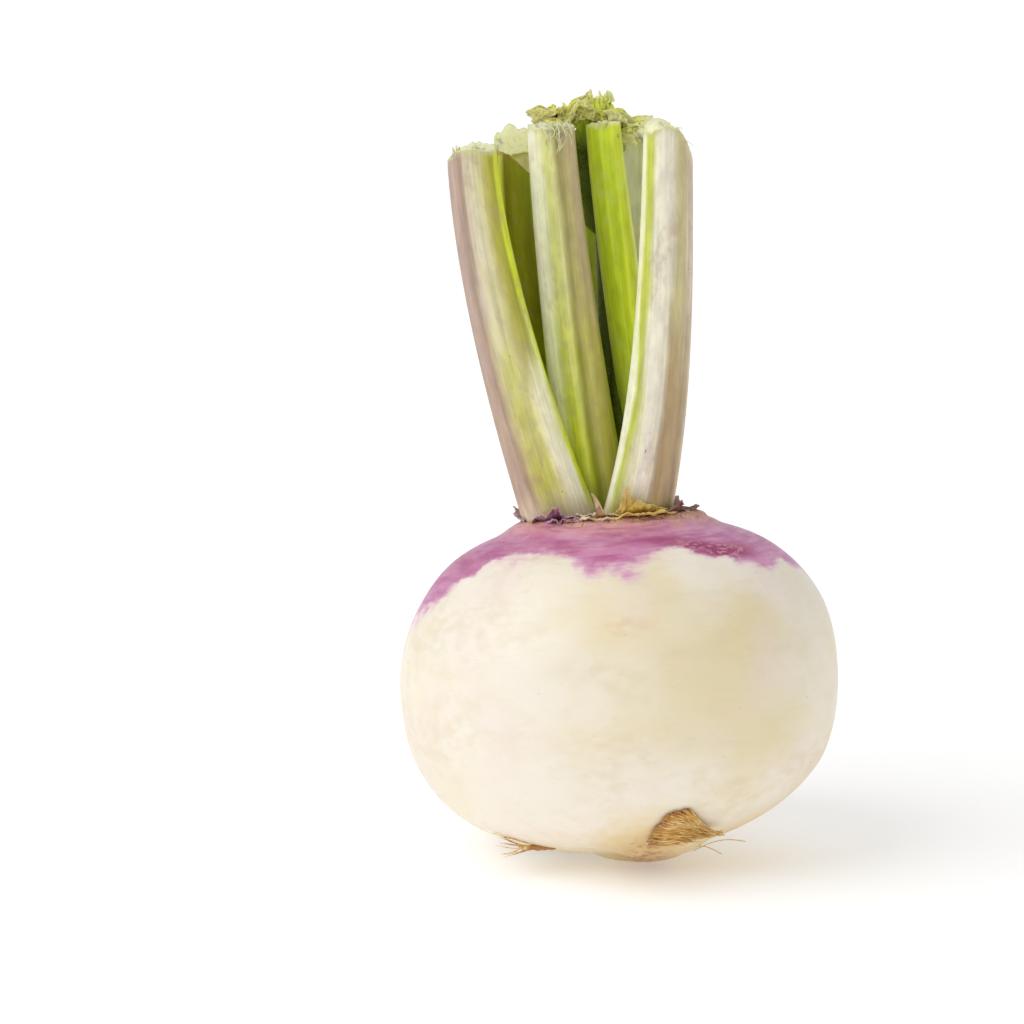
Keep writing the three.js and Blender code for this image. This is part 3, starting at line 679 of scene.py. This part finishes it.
# Colours across each stalk, from its left edge to its right: up the back and in the hollow, and
# where they differ near the foot.
OLIVE_HOLLOW = [(0, "#D2D840"), (0.1, "#A3A428"), (0.45, "#A3A31E"), (0.8, "#84820E"), (1, "#CED438")]
OLIVE_LOW = [(0, "#CBD638"), (0.5, "#BAC61A"), (1, "#D2DC38")]
GREEN_HOLLOW = [(0, "#D6E050"), (0.14, "#BFD036"), (0.5, "#B9CC30"), (0.86, "#C4D63C"), (1, "#DDE664")]
TAN_BACK = [
    (0, "#C9C480"), (0.15, "#DDDBB4"), (0.35, "#D3D29A"), (0.5, "#BDBD74"), (0.65, "#D9D2B8"),
    (0.8, "#C7B49E"), (0.95, "#B7A08C"), (1, "#A9A252"),
]
STALK_COLOURS = {
    "front_left": {
        "slot": "pale_stalk", "foot": "#EADDBC", "hollow": OLIVE_HOLLOW, "hollow_low": OLIVE_LOW,
        "back": [
            (0, "#A18C82"), (0.28, "#BFA699"), (0.4, "#A38A7A"), (0.46, "#C8B6A2"), (0.56, "#DDD5BA"),
            (0.68, "#D6D09E"), (0.78, "#BBB552"), (0.87, "#AAA930"), (0.92, "#E0E83C"), (1, "#CBD434"),
        ],
        "back_low": [
            (0, "#B09684"), (0.36, "#C3A892"), (0.41, "#AE927A"), (0.5, "#C6BE78"), (0.6, "#CCCB58"),
            (0.7, "#D8D878"), (0.78, "#F2EECC"), (0.92, "#FBF8DE"), (0.955, "#DCE63C"), (1, "#CEDA34"),
        ],
    },
    "front_right": {
        "slot": "pale_stalk", "foot": "#C9BC7E", "hollow": OLIVE_HOLLOW, "hollow_low": OLIVE_LOW,
        "back": [
            (0, "#F5F5D4"), (0.08, "#F3F3CE"), (0.13, "#C2CC3A"), (0.18, "#D2D66A"), (0.25, "#EFEBD8"),
            (0.42, "#E6DFCC"), (0.5, "#C9BF90"), (0.64, "#CABD8C"), (0.76, "#DCCFBC"), (0.86, "#B49486"),
            (1, "#C2A296"),
        ],
        # Near the foot the right half is darker tan, its own colour deepened by painted shade on its shaded
        # side, and the bands over two grooves are darker as painted shade.
        "back_low": [
            (0, "#F8F7DE"), (0.1, "#F4F3D2"), (0.14, "#BFC83C"), (0.2, "#DEDCB2"), (0.3, "#F6F0E2"),
            (0.42, "#E6DCC6"), (0.49, "#B49A72"), (0.6, "#BEA478"), (0.7, "#A2885E"), (0.8, "#D2BC9E"),
            (1, "#C29C80"),
        ],
    },
    "centre": {
        "slot": "pale_stalk", "foot": "#C6CA56", "hollow": GREEN_HOLLOW, "mottle": "#BFAE86",
        "back": [
            (0, "#F0F0CC"), (0.12, "#FBFAE2"), (0.3, "#F3F2CC"), (0.42, "#D6D882"), (0.52, "#DFDD9E"),
            (0.6, "#B4AA66"), (0.7, "#C4B67E"), (0.85, "#C9B698"), (0.95, "#B8A67A"), (1, "#94A03C"),
        ],
        "back_low": [
            (0, "#F0F6B8"), (0.22, "#F6F9C4"), (0.36, "#DCE648"), (0.5, "#DEE64E"), (0.58, "#A8AA30"),
            (0.68, "#CECA62"), (0.85, "#CCC45C"), (1, "#AAB62A"),
        ],
    },
    "left": {
        "slot": "green_stalk", "foot": "#D2D668", "hollow": OLIVE_HOLLOW, "hollow_low": OLIVE_LOW,
        "back": TAN_BACK, "cut_edge": "#8F6E30", "flesh": "#93932C", "smooth_cut": 0.5,
    },
    "back_left": {
        "slot": "pale_stalk", "foot": "#DFDCAC", "back": TAN_BACK, "flesh": "#F8F6C8", "smooth_cut": 0.25,
        "hollow": [(0, "#E8D8A8"), (0.3, "#F8F0BC"), (0.6, "#FAF8CC"), (1, "#F0F0B0")],
        "hollow_low": GREEN_HOLLOW, "cut_edge": "#BDBE3C",
    },
    "right": {
        "slot": "green_stalk", "foot": "#CCD64C", "cut_edge": "#E6E69E", "mottle": "#D6E27C",
        "hollow": [
            (0, "#D6E43A"), (0.16, "#C2D626"), (0.4, "#DCEA48"), (0.6, "#C9DC2E"), (0.85, "#D0E038"),
            (1, "#E0EA64"),
        ],
        "hollow_low": [(0, "#E0EE44"), (0.5, "#DDEC3A"), (1, "#E2EE54")],
        "back": [(0, "#D2DE42"), (0.3, "#E0E870"), (0.6, "#D6E058"), (1, "#C6D43A")],
    },
    "back_right": {
        "slot": "pale_stalk", "foot": "#D0D070", "back": TAN_BACK, "mottle": "#D6D8A0",
        "hollow": [(0, "#F6F5DC"), (0.5, "#F8F7E2"), (1, "#F9F8E4")],
        "hollow_low": [(0, "#DADD50"), (0.5, "#D6DC4C"), (1, "#E2E46C")],
    },
    "back": {
        "slot": "green_stalk", "foot": "#DEDBAA", "back": TAN_BACK, "hollow": GREEN_HOLLOW,
    },
}


def stalk_frame(stalk, t):
    """The middle line of a stalk at t, and the ways across it, out of its back and along it."""
    start = CROWN_MIDDLE + Vector((*stalk["foot"], -SUNK))
    step = Vector(stalk["tip"]) - start
    left = max(0, 1 - t)
    drift = 1 - left ** stalk["flare"]
    steep = stalk["flare"] * left ** (stalk["flare"] - 1)
    middle = start + Vector((step.x * drift, step.y * drift, step.z * t))
    along = Vector((step.x * steep, step.y * steep, step.z)).normalized()
    out = turned(mix(stalk["faces"], t))
    out = (out - along * out.dot(along)).normalized()
    return middle, along.cross(out), out, along, step.length


def stalk_point(stalk, x, y, t):
    """A point in a stalk: x and y lie in a circle of radius 1, y over 0 is towards the back."""
    half = mix(stalk["width"], t**0.7) / 2
    curl = radians(mix(stalk["curl"], t))
    radius = half / sin(curl)
    body = sqrt(max(1e-6, 1 - x * x))
    share = max(-1, min(1, y / body))
    deep = mix(stalk["back"] if y > 0 else stalk["channel"], t)
    thick = MARGIN_THICKNESS + (deep - MARGIN_THICKNESS) * body
    if y > 0:
        thick += RIDGE_HEIGHT * cos(RIDGES * pi * x) * body
        thick += FINE_RIB_HEIGHT * cos(FINE_RIBS * pi * x) * body
        thick -= sum(depth * bump(x, place, width) for place, depth, width in stalk["grooves"])
    thick *= share
    angle = x * curl
    side = (radius + thick) * sin(angle)
    through = (radius + thick) * cos(angle) - radius
    across_cut, through_cut, rounding = stalk["cut"]
    length = stalk_frame(stalk, 1)[4]
    short = (across_cut * side + through_cut * through + rounding * side * side) / length
    middle, across, out, along, _ = stalk_frame(stalk, t * (1 - short))
    return middle + across * side + out * through, Vector((side, t * length, through)), along


# Torn strings that hang from the cuts: place across and through, how many, and the millimetres
# that they rise, stand out and hang.
STRINGS = {
    "front_left": [(-0.5, 0.6, 7, 1.2, 1, 1.2), (0.3, 0.5, 5, 1, 0.8, 1.4)],
    "front_right": [(0.3, 0.6, 9, 0.7, 0.9, 1), (-0.4, 0.4, 4, 0.6, 0.5, 0.6)],
    "centre": [
        (0.1, 0.3, 16, 1.5, 2.6, 4.4), (0.55, 0.4, 12, 1.6, 2.2, 3.6), (-0.5, 0.4, 3, 0.8, 0.5, 0.6),
    ],
    "right": [(-0.2, -0.6, 8, 0.6, 0.8, 1.2)],
    "back_right": [(0.2, -0.5, 8, 0.9, 1, 1.8)],
    "back_left": [(0.7, 0.5, 6, 0.8, 0.8, 1)],
    "left": [(0.2, 0, 3, 0.6, 0.6, 0.8)],
    "back": [(0, 0.3, 6, 1, 1.2, 1.6)],
}
STRING_THICKNESS = (0.11, 0.04)


def build_stalk(name, stalk, colours, number):
    bm = bmesh.new()
    band, grain = carried(bm, "band", "grain")
    cut = bm.verts.layers.float.new("cut")
    apart = STALKS_APART * number
    for vert in added(bm, STALK_SHAPE):
        x, y, z = vert.co
        t = 1 - (0.5 - z) ** STEPS_TO_CUT
        place, run, along = stalk_point(stalk, x, y, t)
        at_cut = smooth((t - 1 + RAGGED_REACH) / RAGGED_REACH)
        ragged = RAGGED_HEIGHT * ripple(x * 4, y * 2, number)
        ragged += 0.4 * RAGGED_HEIGHT * ripple(x * 19, y * 11, number + 7)
        inner = 1 - hypot(x, y)
        ragged += BUNDLE_HEIGHT * smooth(inner * 8) * ripple(run.x * 1.7, run.z * 1.7, number)
        ragged *= colours.get("smooth_cut", 1)
        vert.co = place + along * (ragged * at_cut)
        share = y / sqrt(max(1e-6, 1 - x * x))
        vert[band] = ((x + 1) / 2, t, share)
        vert[grain] = run + apart
        vert[cut] = 1 if inner > 0.02 and z > 0.49 else 0
    draw = random.Random(number)
    for across, through, count, rise, stand, hang in STRINGS[name]:
        for _ in range(count):
            x = max(-0.9, min(0.9, across + draw.uniform(-0.3, 0.3)))
            y = through * sqrt(1 - x * x) + draw.uniform(-0.15, 0.15)
            start, _, along = stalk_point(stalk, x, y, 1)
            _, sideways, out, _, _ = stalk_frame(stalk, 1)
            out = out if through >= 0 else -out
            rises = rise * draw.uniform(0.4, 1.2)
            stands = stand * draw.uniform(0.5, 1.3)
            hangs = hang * draw.uniform(0.2, 1.1)
            curls = draw.uniform(0.4, 1.6)
            phase = draw.uniform(0, 2 * pi)
            sway = draw.uniform(0.2, 0.9)
            lean_over = draw.uniform(-0.8, 0.8)

            def path(t):
                lift = rises * sin(pi * min(1, 1.3 * t)) - hangs * t * t - 0.4 * (1 - t)
                swing = sway * t * sin(2 * pi * curls * t + phase) + lean_over * t
                return start + along * lift + out * (stands * t) + sideways * swing

            for vert in strand(bm, STRING_SHAPE, path, lambda t: mix(STRING_THICKNESS, t)):
                vert[band] = (0.5, 1, 1)
                vert[grain] = vert.co + apart
                vert[cut] = 2
    skin = material(f"stalk_{name}_skin", stalk_skin(colours))
    finished(bm, f"{name}_stalk", f"stalk_{name}", colours["slot"], skin)


STALK_SHAPE = rod(STALK_SIDES, STALK_STEPS, CUT_RINGS)
STRING_SHAPE = rod(5, 12)
for number, (name, stalk) in enumerate(STALKS.items()):
    build_stalk(name, stalk, STALK_COLOURS[name], number)


# Youngest leaves.

# Foot and tip of each stem and its radius, and its frills: from and to in height, the way out in
# degrees, the reach, the waves, the swing, the phase and the depth of its lobes. Then the crumpled
# leaflets at its top: height, way out in degrees, length, half width, lean and curl in radians, and
# how pale and tan it is.
YOUNG_LEAVES = {
    "left": {
        "foot": (-2.9, 3.4), "tip": (-9.6, 6.4, 128.5), "stem": 1.7,
        "frills": [(108, 129.5, 195, 4.2, 3.1, 1.5, 0.4, 0.28), (110, 129, 60, 3.6, 2.6, 1.3, 2.1, 0.05)],
        "leaflets": [
            (125.2, 215, 6, 3.2, 0.35, 0.9, 0.9), (125.6, 320, 6.2, 3, 0.15, 0.6, 0.8),
            (126.4, 265, 4.8, 3, 0.1, 0.8, 0.8), (126, 30, 6.2, 3, 0.2, 0.6, 0.6),
            (126.4, 165, 5.6, 2.6, 0.6, 0.7, 0.9),
        ],
    },
    "middle": {
        "foot": (1.1, 5), "tip": (-3.6, 10.4, 128.6), "stem": 1.5,
        # Its first frill is left whole: a sheet that, darkened low down, stands in the gap between the
        # centre and right stalks as painted shade.
        "frills": [(107, 129.3, 178, 5.2, 3.4, 1, 1.2, 0.02), (106, 128.3, 38, 4.3, 3, 1.5, 3, 0.28)],
        "leaflets": [
            (126, 200, 6, 2.2, 0.3, 0.5, 0.1), (126.2, 335, 5.6, 2.5, 0.5, 0.9, 0.2),
            (125.6, 20, 5.4, 2.4, 0.7, 0.8, 0.1), (126.4, 95, 6.2, 2.4, 0.1, 0.6, 0),
            (125.4, 290, 4.6, 2, 0.2, 1.1, 0.3),
        ],
    },
    "right": {
        "foot": (2.6, 2.8), "tip": (-1.2, 8.8, 124.8), "stem": 1.4,
        "frills": [(105, 126.6, 12, 3.4, 2.8, 1.2, 0.9, 0.28)],
        "leaflets": [
            (123, 352, 7.2, 2.6, 0.55, 0.5, 0), (123.2, 60, 6, 2.4, 0.3, 0.6, 0.1),
            (122.6, 310, 5.4, 1.9, 0.45, 0.8, 0.2),
        ],
    },
}
# Where the frills start to open, and their share of the reach below that.
FRILLS_OPEN = (116, 124)
FRILLS_SHUT = 0.15
LEAFLET_THICKNESS = (0.5, 0.22)


def stem_middle(leaf, t):
    start = CROWN_MIDDLE + Vector((*leaf["foot"], -SUNK))
    return start.lerp(Vector(leaf["tip"]), t)


def stem_at(leaf, height):
    foot = stem_middle(leaf, 0).z
    return stem_middle(leaf, (height - foot) / (leaf["tip"][2] - foot))


def wave(turns):
    return cos(2 * pi * turns)


def place_frill(bm, leaf, frill, layers, apart):
    low, high, way, reaches, waves, swings, phase, lobes = frill
    out = turned(way)
    across = Vector((-out.y, out.x, 0))
    for vert in added(bm, FRILL_SHAPE):
        u, v, side = (vert.co.x + 1) / 2, (vert.co.y + 1) / 2, vert.co.z
        height = mix((low, high), u)
        lobed = 1 - lobes * (1 - wave(2 * waves * u + phase))
        toothed = 1 - 0.22 * v * (0.5 + 0.5 * wave(7.3 * waves * u + phase))
        swell = sin(pi * mix(FRILL_SWELL, u)) ** 0.8
        shut = FRILLS_SHUT if lobes > 0.1 else 1
        opening = smooth((height - FRILLS_OPEN[0]) / (FRILLS_OPEN[1] - FRILLS_OPEN[0]))
        open_here = mix((shut, 1), opening)
        reach = leaf["stem"] * STEM_INSIDE + reaches * lobed * toothed * swell * open_here * v
        crumple = ripple(height * 0.5, v * 2, way) + 0.5 * ripple(height, v * 4, way)
        swing = swings * v**1.4 * (wave((waves + 0.25) * u + phase) + crumple)
        swing += side * mix(FRILL_THICKNESS, v) / 2
        lift = FRILL_LIFT * v * v + FRILL_RIPPLE * v * wave(waves * u + phase) * open_here
        vert.co = stem_at(leaf, height) + out * reach + across * swing + UP * lift
        vert[layers[0]] = (u, 0.75 * v, 0)
        vert[layers[1]] = Vector((reach, height, swing)) + apart


def place_leaflet(bm, leaf, leaflet, layers, apart):
    height, way, length, width, lean, curl, pale = leaflet
    start = stem_at(leaf, height)
    out = turned(way)
    across = Vector((-out.y, out.x, 0))
    for vert in added(bm, LEAFLET_SHAPE):
        u, v, side = vert.co.x, (vert.co.y + 1) / 2, vert.co.z
        torn = 1 + 0.3 * ripple(u * 1.6, way, 1) + 0.45 * ripple(u * 6.5, way, 2)
        jagged = 1 + v * (0.55 * ripple(v * 5, way, 3 + u) + 0.6 * ripple(v * 17, way, u))
        spread = u * width * (0.3 + 0.7 * smooth(1.7 * v)) * jagged
        gone = length * v * torn * (1 - 0.3 * u * u)
        angle = lean + curl * v * v
        facing = out * cos(angle) - UP * sin(angle)
        ruffle = 1.5 * v * ripple(u * 1.5, v * 1.6, way) + 1 * v * ripple(u * 5, v * 5, way)
        ruffle += 1.3 * u * u * v * sin(11 * v + way) + side * mix(LEAFLET_THICKNESS, v) / 2
        vert.co = start + (out * sin(angle) + UP * cos(angle)) * gone + across * spread + facing * ruffle
        vert[layers[0]] = (1, 0.3 + 0.7 * v, pale * smooth(2 * v))
        vert[layers[1]] = Vector((spread, gone, ruffle)) + apart


def build_young_leaf(name, leaf, number):
    bm = bmesh.new()
    band, grain = layers = carried(bm, "band", "grain")
    apart = LEAVES_APART * number
    for vert in added(bm, STEM_SHAPE):
        t = vert.co.z + 0.5
        radius = leaf["stem"] * (1.15 - 0.3 * t)
        vert.co = stem_middle(leaf, t) + Vector((vert.co.x, vert.co.y, 0)) * radius
        vert[band] = (0.5, 0.1, 0)
        vert[grain] = vert.co + apart
    for frill in leaf["frills"]:
        place_frill(bm, leaf, frill, layers, apart)
    for leaflet in leaf["leaflets"]:
        place_leaflet(bm, leaf, leaflet, layers, apart)
    finished(bm, f"{name}_young_leaf", f"young_leaf_{name}", "young_leaf", YOUNG_SKIN)


YOUNG_SKIN = material("young_leaf_skin", young_leaf_skin)
STEM_SHAPE = rod(20, 30, 2)
FRILL_SHAPE = slab(130, 18)
LEAFLET_SHAPE = slab(40, 34)
for number, (name, leaf) in enumerate(YOUNG_LEAVES.items()):
    build_young_leaf(name, leaf, number)


# Torn scales round the crown.

# The middle and the spread in degrees, the radii of the foot and of the edge, the height between
# the teeth, each tooth of the torn edge as its place, rise and breadth, how far the edge rolls
# outwards in radians and leans over in degrees round the crown, and the skin.
SCALES = {
    "front_purple": (
        -129, 42, 14.5, 15.3, 1.7, [(0.2, 0.7, 0.08), (0.56, 2, 0.12), (0.86, 0.5, 0.07)], 1.1, 4,
        "purple",
    ),
    "front_curl": (-98, 32, 14.3, 14.4, 1.6, [(0.1, 0.8, 0.1), (0.6, 3.9, 0.06)], 0.8, -1.5, "ribbon"),
    "front_papery": (-67, 44, 13.8, 14.4, 1.8, [(0.26, 4.4, 0.09), (0.46, 1.2, 0.12)], 0.6, -0.5, "papery"),
    "front_right": (-41, 24, 14.6, 15, 0.9, [(0.5, 1.6, 0.2)], 0.8, 3, "brown"),
    "right": (
        -2, 42, 14.6, 15.4, 0.5, [(0.24, 0.6, 0.1), (0.56, 0.3, 0.08), (0.84, 0.5, 0.07)], 0.8, 0, "brown",
    ),
    "back_right": (54, 46, 14.2, 15.3, 1.7, [(0.3, 1.1, 0.11), (0.72, 1.4, 0.12)], 1, -4, "purple"),
    "back_left": (
        108, 52, 14.4, 15.5, 1.4, [(0.2, 0.9, 0.09), (0.52, 1.7, 0.12), (0.86, 0.8, 0.07)], 0.9, 3,
        "ribbon",
    ),
    "left": (170, 60, 14.3, 15.4, 1.5, [(0.34, 1.9, 0.12), (0.76, 1.1, 0.1)], 1, 4, "purple"),
}
# What is folded down in front of a scale, given in the same way.
FOLDS = {
    "front_purple": (-122, 30, 14.7, 15.2, 1.5, [(0.3, 0.9, 0.16)], 2, 5),
    "front_curl": (-101, 40, 14.6, 15, 1.1, [(0.3, 0.5, 0.2), (0.75, 0.5, 0.1)], 2.3, 2),
    "front_papery": (-64, 46, 14.5, 15.2, 1.5, [(0.4, 1.3, 0.26)], 2.2, 3),
}
SCALE_THICKNESS = (0.7, 0.25)
CRUMPLE = 0.75


def place_scale(bm, layers, shape, number):
    middle, spread, foot, edge, low, teeth, roll, lean = shape
    for vert in added(bm, SCALE_SHAPE):
        u, v, side = (vert.co.x + 1) / 2, (vert.co.y + 1) / 2, vert.co.z
        torn = low + sum(rise * bump(u, at, breadth) for at, rise, breadth in teeth)
        torn *= 1 + 0.2 * ripple(u * 7, number, 0) + 0.14 * ripple(u * 27, number, 5)
        height = max(0.2, torn * sin(pi * (0.05 + 0.9 * u)) ** 0.5)
        length = (height + SUNK) * v
        above = max(0, length - SUNK)
        bend = roll * above / height
        folds = ripple(u * 5, v * 1.2, number) + 0.6 * ripple(u * 13, v * 4, number + 3)
        away = side * mix(SCALE_THICKNESS, v) / 2 + CRUMPLE * smooth(above / 1.5) * (0.4 + folds)
        out = height / roll * (1 - cos(bend)) + away * cos(bend)
        rise = min(length, SUNK) + height / roll * sin(bend) - away * sin(bend)
        azimuth = radians(middle + spread * (u - 0.5) + lean * (above / 3) ** 2)
        radius = mix((foot, edge), v**1.5) + out
        level = top_height(foot, azimuth) - SUNK + rise
        vert.co = LEAN @ Vector((radius * cos(azimuth), radius * sin(azimuth), level))
        vert[layers[0]] = (u, above / height, above)
        vert[layers[1]] = (u * radians(spread) * foot + 20 * number, length, 0)


def build_scale(name, scale, number):
    *shape, skin = scale
    bm = bmesh.new()
    layers = carried(bm, "band", "grain")
    place_scale(bm, layers, shape, number)
    if name in FOLDS:
        place_scale(bm, layers, FOLDS[name], number + 0.5)
    slot = "papery_scale" if skin in ("papery", "ribbon") else "purple_scale"
    finished(bm, f"{name}_scale", f"scale_{name}", slot, SCALE_SKINS[skin])


SCALE_SKINS = {
    "purple": material("purple_scale_skin", scale_skin("#431528", "#6E3B50", "#C29AA8", "#A0708A")),
    "brown": material("brown_scale_skin", scale_skin("#3C1420", "#5C3030", "#A37C6C", "#7C4A44")),
    "ribbon": material("ribbon_scale_skin", scale_skin("#7A4A34", "#D2AA76", "#F2E2C2", "#B98450")),
    "papery": material("papery_scale_skin", scale_skin("#A8762A", "#DDBE50", "#EAD68A", "#B88224")),
}
SCALE_SHAPE = slab(120, 26)
for number, (name, scale) in enumerate(SCALES.items()):
    build_scale(name, scale, number)


# Dry fibres of the tap root, torn off at the front right.

TUFT_TOP = Vector((9, -31, -16.5))
TUFT_LOW = Vector((4.2, -20.5, -25.5))
TUFT_TIP = Vector((14.6, -21.5, -25.5))
PAD_REACH = 0.62
PAD_RISE = 0.3
PAD_OVER = (0.42, 0.45)
FIBRES = 190
FIBRE_START = (-0.06, 0.4)
FIBRE_REACH = (0.4, 1.14)
FIBRE_LIFT = (0, 1)
FIBRE_THICKNESS = (0.15, 0.045)
FIBRE_SEED = 11
# Long hairs that trail away from the tuft: their radius and both ends.
TRAILING_GIRTH = 0.08
TRAILING = [((12.6, -18.6, 4.2), (21.8, -14, 4.7)), ((11, -19.2, 4.6), (17.6, -17, 3.2))]


def over_root(u, v, lift):
    """A place that is lift above the skin, u from low to top and v towards the tip."""
    way = TUFT_LOW.lerp(TUFT_TOP, u).lerp(TUFT_TIP, v).normalized()
    return root_point(UPRIGHT @ way, GAP + lift)


def tuft_edge(u):
    """Where the tuft starts: bulging in the middle, and cut back where it arches over at the top."""
    return 0.24 * smooth((u - 0.62) / 0.38) ** 1.5 - 0.09 * sin(pi * u)


def tuft_row(u, v):
    return u * (1 + 0.1 * sin(pi * min(1, max(0, 1.6 * v))))


def build_tap_root_fibres():
    bm = bmesh.new()
    grain = bm.verts.layers.float_vector.new("grain")
    rust = bm.verts.layers.float.new("rust")
    for vert in added(bm, PAD_SHAPE):
        u, v, side = (vert.co.x + 1) / 2, (vert.co.y + 1) / 2, vert.co.z
        torn = 0.2 * ripple(u * 14, v * 3, 1) + 0.14 * ripple(u * 40, v * 6, 2)
        ragged = 0.09 * ripple(u * 4, 7, 1) + 0.05 * ripple(u * 17, 7, 2)
        rise = smooth(v / PAD_RISE)
        lift = (mix(PAD_OVER, v) + torn) * rise if side > 0 else -0.1
        reach = mix((tuft_edge(u) + ragged, PAD_REACH), v)
        u_torn = u + 0.03 * ripple(u * 5, v * 9, 4)
        vert.co = over_root(tuft_row(u_torn, reach), reach, lift)
        vert[grain] = (u * 16, v * 8, 0)
        vert[rust] = 1 - smooth(v / 0.4)
    draw = random.Random(FIBRE_SEED)
    for number in range(FIBRES):
        row = (number + draw.random()) / FIBRES
        start = draw.uniform(*FIBRE_START)
        end = draw.uniform(*FIBRE_REACH)
        low = draw.uniform(0.6, 1.15)
        rise = draw.uniform(*FIBRE_LIFT)
        sway = draw.uniform(0.01, 0.04)
        phase = draw.uniform(0, 2 * pi)
        curls = draw.uniform(0.5, 1.6)
        thick = draw.uniform(0.6, 1.2)

        def path(t):
            swung = row + sway * (0.3 + t) * sin(2 * pi * curls * t + phase)
            v = mix((start + tuft_edge(row), end), t)
            lift = low * mix(PAD_OVER, v) * smooth((v - tuft_edge(row) + 0.08) / PAD_RISE)
            return over_root(tuft_row(swung, v), v, lift + rise * t**2.5)

        for vert in strand(bm, FIBRE_SHAPE, path, lambda t: thick * mix(FIBRE_THICKNESS, t)):
            gone = (vert.co - path(0)).length
            vert[grain] = (number * 1.7, gone, 0)
            vert[rust] = 0.8 - smooth(gone / 3)
    for start, end in TRAILING:
        start, end = Vector(start), Vector(end)
        strand(bm, FIBRE_SHAPE, lambda t: start.lerp(end, t) + UP * sin(pi * t), lambda t: TRAILING_GIRTH)
    finished(bm, "tap_root_tuft", "tap_root_fibres", "dry_rootlet", ROOTLET_SKIN)


ROOTLET_SKIN = material("rootlet_skin", rootlet_skin)
PAD_SHAPE = slab(70, 40)
FIBRE_SHAPE = rod(6, 16)
build_tap_root_fibres()


# Wisp of rootlets at the left of the underside.

WISP_FROM = Vector((-11, -18.4, 4.7))
WISP_TO = Vector((-22.4, -18.6, 5))
WISP_BUNDLE = 6.4
WISP_GIRTH = (0.22, 0.5)
WISP_HAIRS = 10
WISP_SEED = 5
WISP_HAIR_THICKNESS = (0.13, 0.04)
WISP_ENDS = [(-22.8, -18.8, 7.6), (-22.6, -18.4, 5.4), (-21.4, -19.2, 3.4)]


def build_side_rootlets():
    bm = bmesh.new()
    grain = bm.verts.layers.float_vector.new("grain")
    rust = bm.verts.layers.float.new("rust")
    length = (WISP_TO - WISP_FROM).length
    bundle_end = WISP_FROM.lerp(WISP_TO, WISP_BUNDLE / length)

    def spindle(t):
        return mix(WISP_GIRTH, sin(pi * t) ** 0.7) * (1 + 0.2 * sin(9 * t) * sin(23 * t))

    strand(bm, BUNDLE_SHAPE, lambda t: WISP_FROM.lerp(bundle_end, t), spindle)
    draw = random.Random(WISP_SEED)
    for number in range(WISP_HAIRS):
        end = Vector(WISP_ENDS[number % len(WISP_ENDS)])
        end = WISP_FROM.lerp(end, draw.uniform(0.7, 1))
        end += Vector((0, draw.uniform(-0.7, 0.7), draw.uniform(-0.4, 0.4)))
        turn = 2 * pi * number / WISP_HAIRS
        off = Vector((0, cos(turn), sin(turn))) * draw.uniform(0.1, 0.35)
        start = WISP_FROM.lerp(bundle_end, draw.uniform(0.2, 0.9)) + off
        bend = Vector((0, draw.uniform(-0.4, 0.4), draw.uniform(-0.6, 0.1)))

        def path(t):
            return start.lerp(end, t) + bend * (sin(pi * t) * (1 - 0.4 * t))

        strand(bm, FIBRE_SHAPE, path, lambda t: mix(WISP_HAIR_THICKNESS, t))
    for vert in bm.verts:
        vert[grain] = vert.co
        vert[rust] = 1.2 * (1 - smooth((WISP_FROM.x - vert.co.x - 3) / 4))
    finished(bm, "side_wisp", "side_rootlets", "dry_rootlet", ROOTLET_SKIN)


BUNDLE_SHAPE = rod(16, 24)
build_side_rootlets()


# Camera, floor and light.

CAMERA_AIM = Vector((-18.57, 0, 60))
CAMERA_RISE = radians(11)
CAMERA_DISTANCE = 900
SENSOR = 36
FRAME_WIDTH = 177.7
# Light from the white surroundings, from a soft sun and from the floor's own glow.
DOME = 0.66
KEY = 1.15
KEY_FROM = (-1, -0.42, 1.05)
KEY_ANGLE = radians(55)
GLOW = 0.24
FLOOR_HALF = 6


def build_stage():
    scene = bpy.context.scene
    scene.view_settings.view_transform = "Standard"
    camera = placed("camera", bpy.data.cameras.new("camera"))
    back = Vector((0, -cos(CAMERA_RISE), sin(CAMERA_RISE)))
    camera.location = (CAMERA_AIM + back * CAMERA_DISTANCE) * MM
    camera.rotation_euler = (-back).to_track_quat("-Z", "Y").to_euler()
    camera.data.sensor_width = SENSOR
    camera.data.lens = SENSOR * CAMERA_DISTANCE / FRAME_WIDTH
    camera.data.clip_start = 0.05
    scene.camera = camera

    bm = bmesh.new()
    bmesh.ops.create_grid(bm, x_segments=4, y_segments=4, size=FLOOR_HALF)
    floor = placed("floor", meshed(bm, "floor"))
    floor.data.materials.append(material("white_sweep", white_sweep))

    world = bpy.data.worlds.new("studio")
    scene.world = world
    world.use_nodes = True
    tree = world.node_tree
    tree.nodes.clear()
    seen = node(tree, "LightPath", output="Is Camera Ray")
    strength = node(tree, "MapRange", {"Value": seen, "To Min": DOME, "To Max": 1})
    dome = node(tree, "Background", {"Color": "#FFFFFF", "Strength": strength})
    node(tree, "OutputWorld", {"Surface": dome})

    key = placed("key", bpy.data.lights.new("key", "SUN"))
    key.data.energy = KEY
    key.data.angle = KEY_ANGLE
    key.rotation_euler = Vector(KEY_FROM).to_track_quat("Z", "Y").to_euler()


def white_sweep(tree):
    """Matt white translucent sheet, lit a little from below."""
    speckle = node(tree, "TexNoise", {"Scale": 400})
    colour = node(tree, "ValToRGB", {"Fac": speckle}, stops=[(0, "#F0F0F0"), (1, "#F4F4F4")])
    return node(tree, "BsdfPrincipled", {
        "Base Color": colour, "Roughness": 0.9, "Emission Color": "#FFFFFF", "Emission Strength": GLOW,
    })


build_stage()
